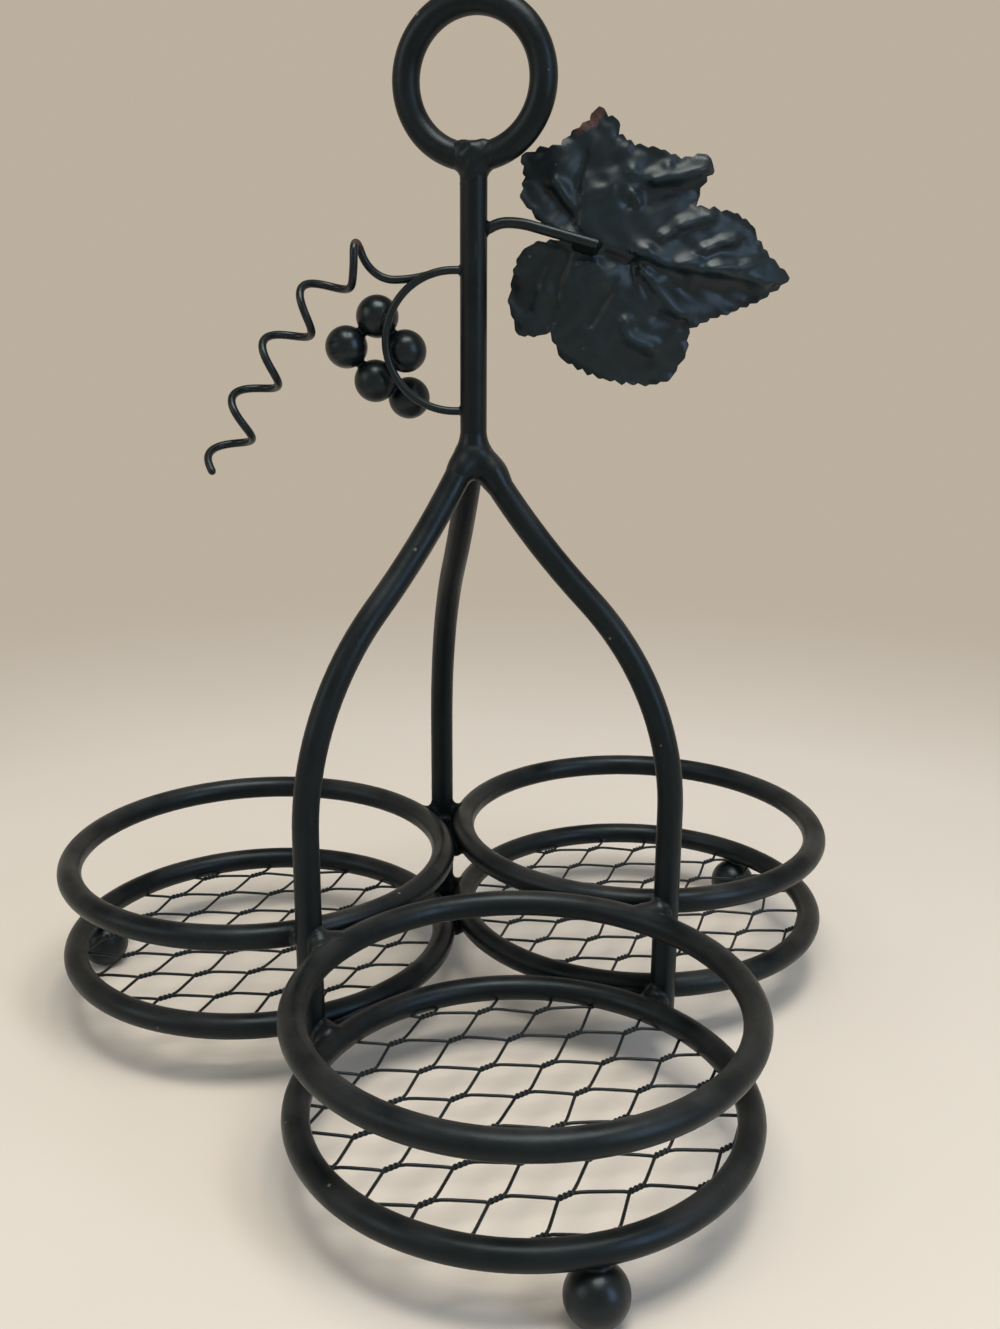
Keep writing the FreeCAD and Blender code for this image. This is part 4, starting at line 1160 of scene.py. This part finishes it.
def net_shells(middle):
    """Wires of one netting, turned, sagging and cut off inside its ring."""
    net = bpy.context.scene.caddy_netting
    wire = net.wire_diameter / MM / 2
    turn = Matrix.Rotation(net.twist_angle - math.pi / 2, 3, "Z")
    rim = RING_RADIUS - ROD * NET_RIM_SHARE
    shells = []
    for line in net_wires():
        for run in clip_wire(line, rim):
            path = []
            for point in run:
                drop = net.sag / MM * (1 - (point.xy.length / RING_RADIUS) ** 2)
                path.append(middle + turn @ point - Vector((0, 0, drop)))
            shells.append(tube_shell(path, wire, NET_SIDES))
    return shells


# Operators

class CADDY_OT_studio(Operator):
    """Pale floor, soft lamps and the camera"""
    bl_idname = "caddy.studio"
    bl_label = "Studio"

    def lamp(self, name, place, size, power, color):
        data = bpy.data.lights.new(name, "AREA")
        data.shape = "RECTANGLE"
        data.size, data.size_y = size
        data.energy = power
        data.color = color
        lamp = bpy.data.objects.new(name, data)
        lamp.location = place
        lamp.rotation_euler = (LAMP_AIM - Vector(place)).to_track_quat("-Z", "Y").to_euler()
        bpy.context.scene.collection.objects.link(lamp)

    def floor(self, studio):
        turns = [2 * math.pi * side / FLOOR_SIDES for side in range(FLOOR_SIDES)]
        points = [(FLOOR_RADIUS * math.cos(turn), FLOOR_RADIUS * math.sin(turn), 0.0) for turn in turns]
        mesh = bpy.data.meshes.new("pale_floor")
        mesh.from_pydata(points, [], [list(range(FLOOR_SIDES))])
        paint = PaintNodes("floor_matt")
        mottle = paint.ramp(paint.noise(*FLOOR_NOISE), *MOTTLE_RANGE)
        tone = paint.mix(mottle, *(scaled(studio.floor_color, share) for share in FLOOR_TONES))
        paint.join(tone, paint.shader.inputs["Base Color"])
        paint.shader.inputs["Roughness"].default_value = FLOOR_ROUGHNESS
        paint.shader.inputs["Specular IOR Level"].default_value = FLOOR_SPECULAR
        clear = paint.add("ShaderNodeBsdfTransparent")
        edge = paint.ramp(paint.near((0.0, 0.0, 0.0), FLOOR_REACH), *FLOOR_EDGE)
        paint.blend(edge, paint.shader.outputs["BSDF"], clear.outputs["BSDF"], paint.output)
        mesh.materials.append(paint.material)
        floor = bpy.data.objects.new("pale_floor", mesh)
        bpy.context.scene.collection.objects.link(floor)

    def sky(self, studio):
        """Even light all round, with a backdrop that the camera and shiny or clear things see instead."""
        world = bpy.data.worlds.new("studio")
        bpy.context.scene.world = world
        world.use_nodes = True
        sky = NodeTree(world.node_tree)
        even, seen = sky.add("ShaderNodeBackground"), sky.add("ShaderNodeBackground")
        even.inputs["Color"].default_value = SKY_COLOR
        even.inputs["Strength"].default_value = studio.sky_strength
        split = sky.add("ShaderNodeSeparateXYZ")
        sky.join(sky.add("ShaderNodeTexCoord").outputs["Generated"], split.inputs["Vector"])
        backdrop = tuple(studio.backdrop_color)
        rise = sky.ramp(split.outputs["Z"], *BACKDROP_RISE)
        sky.join(sky.mix(rise, backdrop, scaled(backdrop, BACKDROP_TOP_SHARE)), seen.inputs["Color"])
        rays = sky.add("ShaderNodeLightPath").outputs
        shown = rays["Is Camera Ray"]
        for ray in ("Is Glossy Ray", "Is Transmission Ray"):
            shown = sky.math("MAXIMUM", shown, rays[ray])
        output = sky.add("ShaderNodeOutputWorld")
        sky.blend(shown, even.outputs["Background"], seen.outputs["Background"], output)

    def camera(self):
        data = bpy.data.cameras.new("photo_camera")
        data.lens = CAMERA_LENS
        data.sensor_width = CAMERA_SENSOR
        data.sensor_fit = "AUTO"
        camera = bpy.data.objects.new("photo_camera", data)
        right, up = Vector(CAMERA_RIGHT).normalized(), Vector(CAMERA_UP).normalized()
        turn = Matrix((right, up, right.cross(up))).transposed()
        camera.matrix_world = Matrix.Translation(CAMERA_PLACE) @ turn.to_4x4()
        bpy.context.scene.collection.objects.link(camera)
        bpy.context.scene.camera = camera

    def execute(self, context):
        studio = context.scene.caddy_studio
        self.floor(studio)
        self.sky(studio)
        for name, (place, size, color) in LAMPS.items():
            self.lamp(f"{name}_lamp", place, size, getattr(studio, f"{name}_power"), color)
        self.camera()
        context.scene.view_settings.view_transform = "Standard"
        return {"FINISHED"}


class CADDY_OT_rods(Operator):
    """Paint the handle ring, post, legs and bottle rings"""
    bl_idname = "caddy.rods"
    bl_label = "Frame Rods"

    def execute(self, context):
        rods = ["handle_ring", "center_post", *(f"leg_{side}" for side in LEGS)]
        rods += [f"{level}_ring_{side}" for level in LEVELS for side in RINGS]
        for node in rods:
            dress_node(node, paint_of("rod_satin"))
        return {"FINISHED"}


class CADDY_OT_balls(Operator):
    """Paint the ball feet and the grapes"""
    bl_idname = "caddy.balls"
    bl_label = "Feet and Grapes"

    def execute(self, context):
        for side in RINGS:
            dress_node(f"foot_ball_{side}", paint_of("ball_satin"))
        for grape in GRAPES:
            dress_node(f"grape_{grape}", paint_of("ball_satin"))
        return {"FINISHED"}


class CADDY_OT_vine(Operator):
    """Paint the vine wire and the leaf's stem"""
    bl_idname = "caddy.vine"
    bl_label = "Vine and Stem"

    def execute(self, context):
        for node in ("vine_wire", "leaf_stem"):
            dress_node(node, paint_of("wire_satin"))
        return {"FINISHED"}


class CADDY_OT_tendril(Operator):
    """Coiled wire tendril"""
    bl_idname = "caddy.tendril"
    bl_label = "Tendril"

    def execute(self, context):
        line = [vine_to_caddy(point) for point in tendril_line()]
        peak = line.index(max(line, key=lambda point: point.z))
        for place, eased in enumerate(smooth_line(line, COIL_EASE)):
            share = min(1.0, max(0.0, (place - peak - EASE_AFTER) / EASE_AFTER))
            line[place] = line[place].lerp(eased, share)
        shell = tube_shell(line, context.scene.caddy_tendril.wire_diameter / MM / 2, TENDRIL_SIDES)
        add_piece("tendril_coil", new_mesh("tendril_coil", [shell]), paint_of("wire_satin"), "ornament_paint",
                  "tendril")
        return {"FINISHED"}


class CADDY_OT_leaf(Operator):
    """Pressed sheet leaf with toothed edges and folded veins"""
    bl_idname = "caddy.leaf"
    bl_label = "Leaf"

    def execute(self, context):
        piece = add_piece("leaf_pressed", leaf_mesh(), paint_of("leaf_satin"), "leaf_paint", "leaf")
        thicken(piece, context.scene.caddy_leaf.thickness)
        return {"FINISHED"}


class CADDY_OT_netting(Operator):
    """Twisted wire netting in each lower ring"""
    bl_idname = "caddy.netting"
    bl_label = "Netting"

    def execute(self, context):
        for side in RINGS:
            middle = middle_of(f"lower_ring_{side}")
            middle.z = NET_LEVEL
            mesh = new_mesh(f"netting_{side}", net_shells(middle))
            add_piece(f"netting_{side}", mesh, paint_of("net_satin"), "net_paint", f"net_{side}")
        return {"FINISHED"}


class CADDY_OT_welds(Operator):
    """Lumpy weld metal where the rods, wires and balls meet"""
    bl_idname = "caddy.welds"
    bl_label = "Weld Metal"

    def bead(self, name, shells, paint="weld_satin"):
        add_piece(f"{name}_bead", new_mesh(f"{name}_bead", shells), paint_of(paint), "weld_paint", name)

    def post(self):
        return from_rod((0, 0, CROWN), (0, 0, CROWN + BEAD_RUN), ROD), 0

    def handle(self):
        foot = HANDLE.z - HANDLE_RADIUS
        post = from_rod((0, 0, foot - BEAD_RUN), (0, 0, foot), ROD)
        parts = [(from_ring(HANDLE, HANDLE_RADIUS, ROD, True), 0), (post, HANDLE_FILLET)]
        for across, back, up, size in HANDLE_LUMPS:
            parts.append((from_ball((across, back, foot + up), size), HANDLE_LUMP_FILLET))
        ends = [(0, 0, foot + up) for up in HANDLE_BEAD_ENDS]
        line = Vector((0, 0, foot - HANDLE_LINE_DROP))
        wire = from_ring(line, ROD - HANDLE_LINE_SINK, HANDLE_LINE_WIRE)
        return [bead_shell(parts, *ends, BEADS["handle"]),
                bead_shell([(post, 0), (wire, HANDLE_LINE_FILLET)], line, line, BEADS["handle_line"])]

    def crown(self):
        parts, shoulders = [], []
        for index, side in enumerate(LEGS):
            way = leg_way(index)
            path = [Vector((0, 0, CROWN + CROWN_START))]
            for degrees in range(1, CROWN_DEGREES + 1):
                angle = LEG_TOP_ANGLE + math.radians(degrees)
                out = LEG_SWEEP_RADIUS * (math.cos(LEG_TOP_ANGLE) - math.cos(angle))
                drop = LEG_SWEEP_RADIUS * (math.sin(angle) - math.sin(LEG_TOP_ANGLE))
                path.append(way * out + Vector((0, 0, CROWN - drop)))
            parts.append((from_path(path, ROD, ROD / 2), CROWN_FILLET))
            for out, drop, size in CROWN_SHOULDERS[side]:
                shoulders.append((from_ball(way * out + Vector((0, 0, CROWN - drop)), size), SHOULDER_FILLET))
        post = from_rod((0, 0, CROWN - CROWN_POST_DROP), (0, 0, CROWN + BEAD_RUN), ROD)
        parts += [(post, POST_FILLET), *shoulders]
        return [bead_shell(parts, (0, 0, CROWN - CROWN_BEAD_DROP), (0, 0, CROWN), BEADS["crown"])]

    def ring_joints(self, level, legs):
        """Fillets and a web between each leg and its two rings, to just past where these pass each other."""
        shells = []
        for index, side in enumerate(LEGS):
            if side not in legs:
                continue
            way = leg_way(index)
            rings = [middle_of(f"{level}_ring_{ring}") for ring in RINGS]
            pair = sorted(rings, key=lambda ring: -ring.dot(way))[:2]
            leg = way * LEG_OFFSET + Vector((0, 0, pair[0].z))
            parts = [(from_ring(ring, RING_RADIUS, ROD), RING_FILLET) for ring in pair]
            rod = from_rod(leg - Vector((0, 0, ROD)), leg + Vector((0, 0, BEAD_RUN)), ROD)
            parts.append((rod, JOINT_FILLET))
            toward = (middle_of(f"{level}_ring_front") - leg).normalized()
            inwards = (-way - toward * -way.dot(toward)).normalized()
            for near, along, up, size in JOINT_LUMPS.get((side, level), ()):
                lump = leg + toward * near + inwards * along + Vector((0, 0, up))
                parts.append((from_ball(lump, size), JOINT_LUMP_FILLET))
            begin = leg - way * WEB_START
            pass_by = (pair[0] + pair[1]) / 2 - way * WEB_PAST
            sunk = Vector((0, 0, WEB_SINK))
            parts.append((from_rod(begin - sunk, pass_by - sunk, WEB_RADIUS[level]), JOINT_FILLET / 2))
            number = index + len(LEGS) * LEVELS.index(level)
            shells.append(bead_shell(parts, begin, pass_by, BEADS["ring"], number))
        return shells

    def seams(self):
        """Ground butt joint of each ring."""
        shells = []
        for level in LEVELS:
            for side in RINGS:
                ring = middle_of(f"{level}_ring_{side}")
                turn = math.atan2(-ring.y, -ring.x) + SEAM_TURNS[side]
                place = ring + Vector((math.cos(turn), math.sin(turn), 0)) * RING_RADIUS
                parts = [(from_ring(ring, RING_RADIUS, ROD + SEAM_RISE), 0)]
                shells.append(bead_shell(parts, place, place, BEADS["seam"], len(shells)))
        return shells

    def feet(self):
        shells = []
        for side in RINGS:
            ball = middle_of(f"foot_ball_{side}")
            ball.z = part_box(f"foot_ball_{side}")[1].z / MM - FOOT_RADIUS
            ring = from_ring(middle_of(f"lower_ring_{side}"), RING_RADIUS, ROD)
            parts = [(from_ball(ball, FOOT_RADIUS), 0), (ring, FOOT_FILLET)]
            top = ball + Vector((0, 0, FOOT_RADIUS))
            shells.append(bead_shell(parts, top, top, BEADS["foot"], len(shells)))
        return shells

    def vine(self):
        shells = []
        for level in (VINE_MIDDLE + VINE_RADIUS, VINE_MIDDLE - VINE_RADIUS):
            ends = [vine_to_caddy((out, 0, level)) for out in (0, VINE_STUB + VINE_STUB_PAST)]
            touch = vine_to_caddy((ROD, 0, level))
            parts = [self.post(), (from_rod(*ends, VINE_WIRE), WIRE_FILLET)]
            shells.append(bead_shell(parts, touch, touch, BEADS["vine"], len(shells)))
        return shells

    def grapes(self):
        shells = []
        places = {grape: middle_of(f"grape_{grape}") for grape in GRAPES}
        for pair in GRAPE_CONTACTS:
            parts = [(from_ball(places[grape], GRAPE_RADIUS), GRAPE_FILLET) for grape in pair]
            touch = (places[pair[0]] + places[pair[1]]) / 2
            shells.append(bead_shell(parts, touch, touch, BEADS["grape"], len(shells)))
        touch = vine_arc(GRAPE_TOP_ANGLE, GRAPE_TOP_ANGLE, 1)[0]
        wire = from_path(vine_arc(*GRAPE_ARC), VINE_WIRE)
        parts = [(wire, 0), (from_ball(places["top"], GRAPE_RADIUS), WIRE_FILLET)]
        return [*shells, bead_shell(parts, touch, touch, BEADS["grape_top"])]

    def tendril(self):
        line = [vine_to_caddy(point) for point in tendril_line()[:TENDRIL_WELD_POINTS]]
        wire = from_path(vine_arc(*(TENDRIL_LEAVE + turn for turn in TENDRIL_ARC)), VINE_WIRE)
        touch = (line[0] + vine_arc(TENDRIL_LEAVE, TENDRIL_LEAVE, 1)[0]) / 2
        parts = [(wire, 0), (from_path(line, VINE_WIRE), WIRE_FILLET)]
        return [bead_shell(parts, touch, touch, BEADS["tendril"])]

    def leaf(self):
        """Beads at both ends of the leaf's stem."""
        turn = Matrix.Rotation(LEAF_TURN, 3, "Z")
        arch = [turn @ point for point in stem_arch()]
        touch = min(arch, key=lambda point: abs(point.xy.length - ROD))
        root = [self.post(), (from_path(arch, STEM_WIRE), STEM_FILLET)]
        end = LEAF_PLACE - Vector((0, LEAF_BACK, 0))
        back = end - Vector((math.cos(STEM_DROOP), 0, -math.sin(STEM_DROOP))) * STEM_END_RUN
        parts = [(from_rod(turn @ back, turn @ end, STEM_WIRE), 0)]
        for *place, size, fillet in LEAF_LUMPS:
            parts.append((from_ball(turn @ (end + Vector(place)), size), fillet))
        ends = [turn @ (end + Vector(place)) for place in LEAF_BEAD_ENDS]
        return [bead_shell(root, touch, touch, BEADS["stem"]), bead_shell(parts, *ends, BEADS["leaf"])]

    def execute(self, context):
        self.bead("handle_weld", self.handle())
        self.bead("crown_weld", self.crown(), "rod_satin")
        for level in LEVELS:
            self.bead(f"{level}_ring_welds", self.ring_joints(level, ("right", "left")))
            # the back leg's ring joints take the darker paint as painted shade
            back = new_mesh(f"{level}_ring_welds_back", self.ring_joints(level, ("back",)))
            add_piece(f"{level}_ring_welds_back", back, paint_of("joint_matt"), "weld_paint")
        self.bead("ring_seam_welds", self.seams())
        self.bead("foot_welds", self.feet())
        self.bead("vine_welds", self.vine())
        self.bead("grape_welds", self.grapes())
        self.bead("tendril_weld", self.tendril())
        # the leaf's stem welds, at the post and at the leaf, take the darker paint as painted shade
        self.bead("leaf_welds", self.leaf(), "joint_matt")
        return {"FINISHED"}


class CADDY_PT_pieces(Panel):
    """Pieces and sizes of the bottle caddy"""
    bl_label = "Bottle Caddy"
    bl_idname = "CADDY_PT_pieces"
    bl_space_type = "VIEW_3D"
    bl_region_type = "UI"
    bl_category = "Caddy"

    def draw(self, context):
        for operator in OPERATORS:
            self.layout.operator(operator.bl_idname)
        for name, group in GROUPS.items():
            box = self.layout.box()
            box.label(text=group.__doc__)
            for size in group.__annotations__:
                box.prop(getattr(context.scene, name), size)


GROUPS = {"caddy_netting": CaddyNetting, "caddy_tendril": CaddyTendril, "caddy_leaf": CaddyLeaf,
          "caddy_finish": CaddyFinish, "caddy_studio": CaddyStudio}
OPERATORS = (CADDY_OT_studio, CADDY_OT_rods, CADDY_OT_balls, CADDY_OT_vine, CADDY_OT_tendril, CADDY_OT_leaf,
             CADDY_OT_netting, CADDY_OT_welds)


def register():
    for kind in (*GROUPS.values(), *OPERATORS, CADDY_PT_pieces):
        bpy.utils.register_class(kind)
    for name, group in GROUPS.items():
        setattr(bpy.types.Scene, name, PointerProperty(type=group))


def unregister():
    for name in GROUPS:
        delattr(bpy.types.Scene, name)
    for kind in reversed((*GROUPS.values(), *OPERATORS, CADDY_PT_pieces)):
        bpy.utils.unregister_class(kind)


def main():
    register()
    bpy.ops.caddy.studio()
    bpy.ops.caddy.rods()
    bpy.ops.caddy.balls()
    bpy.ops.caddy.vine()
    bpy.ops.caddy.tendril()
    bpy.ops.caddy.leaf()
    bpy.ops.caddy.netting()
    bpy.ops.caddy.welds()


if __name__ == "__main__":
    main()
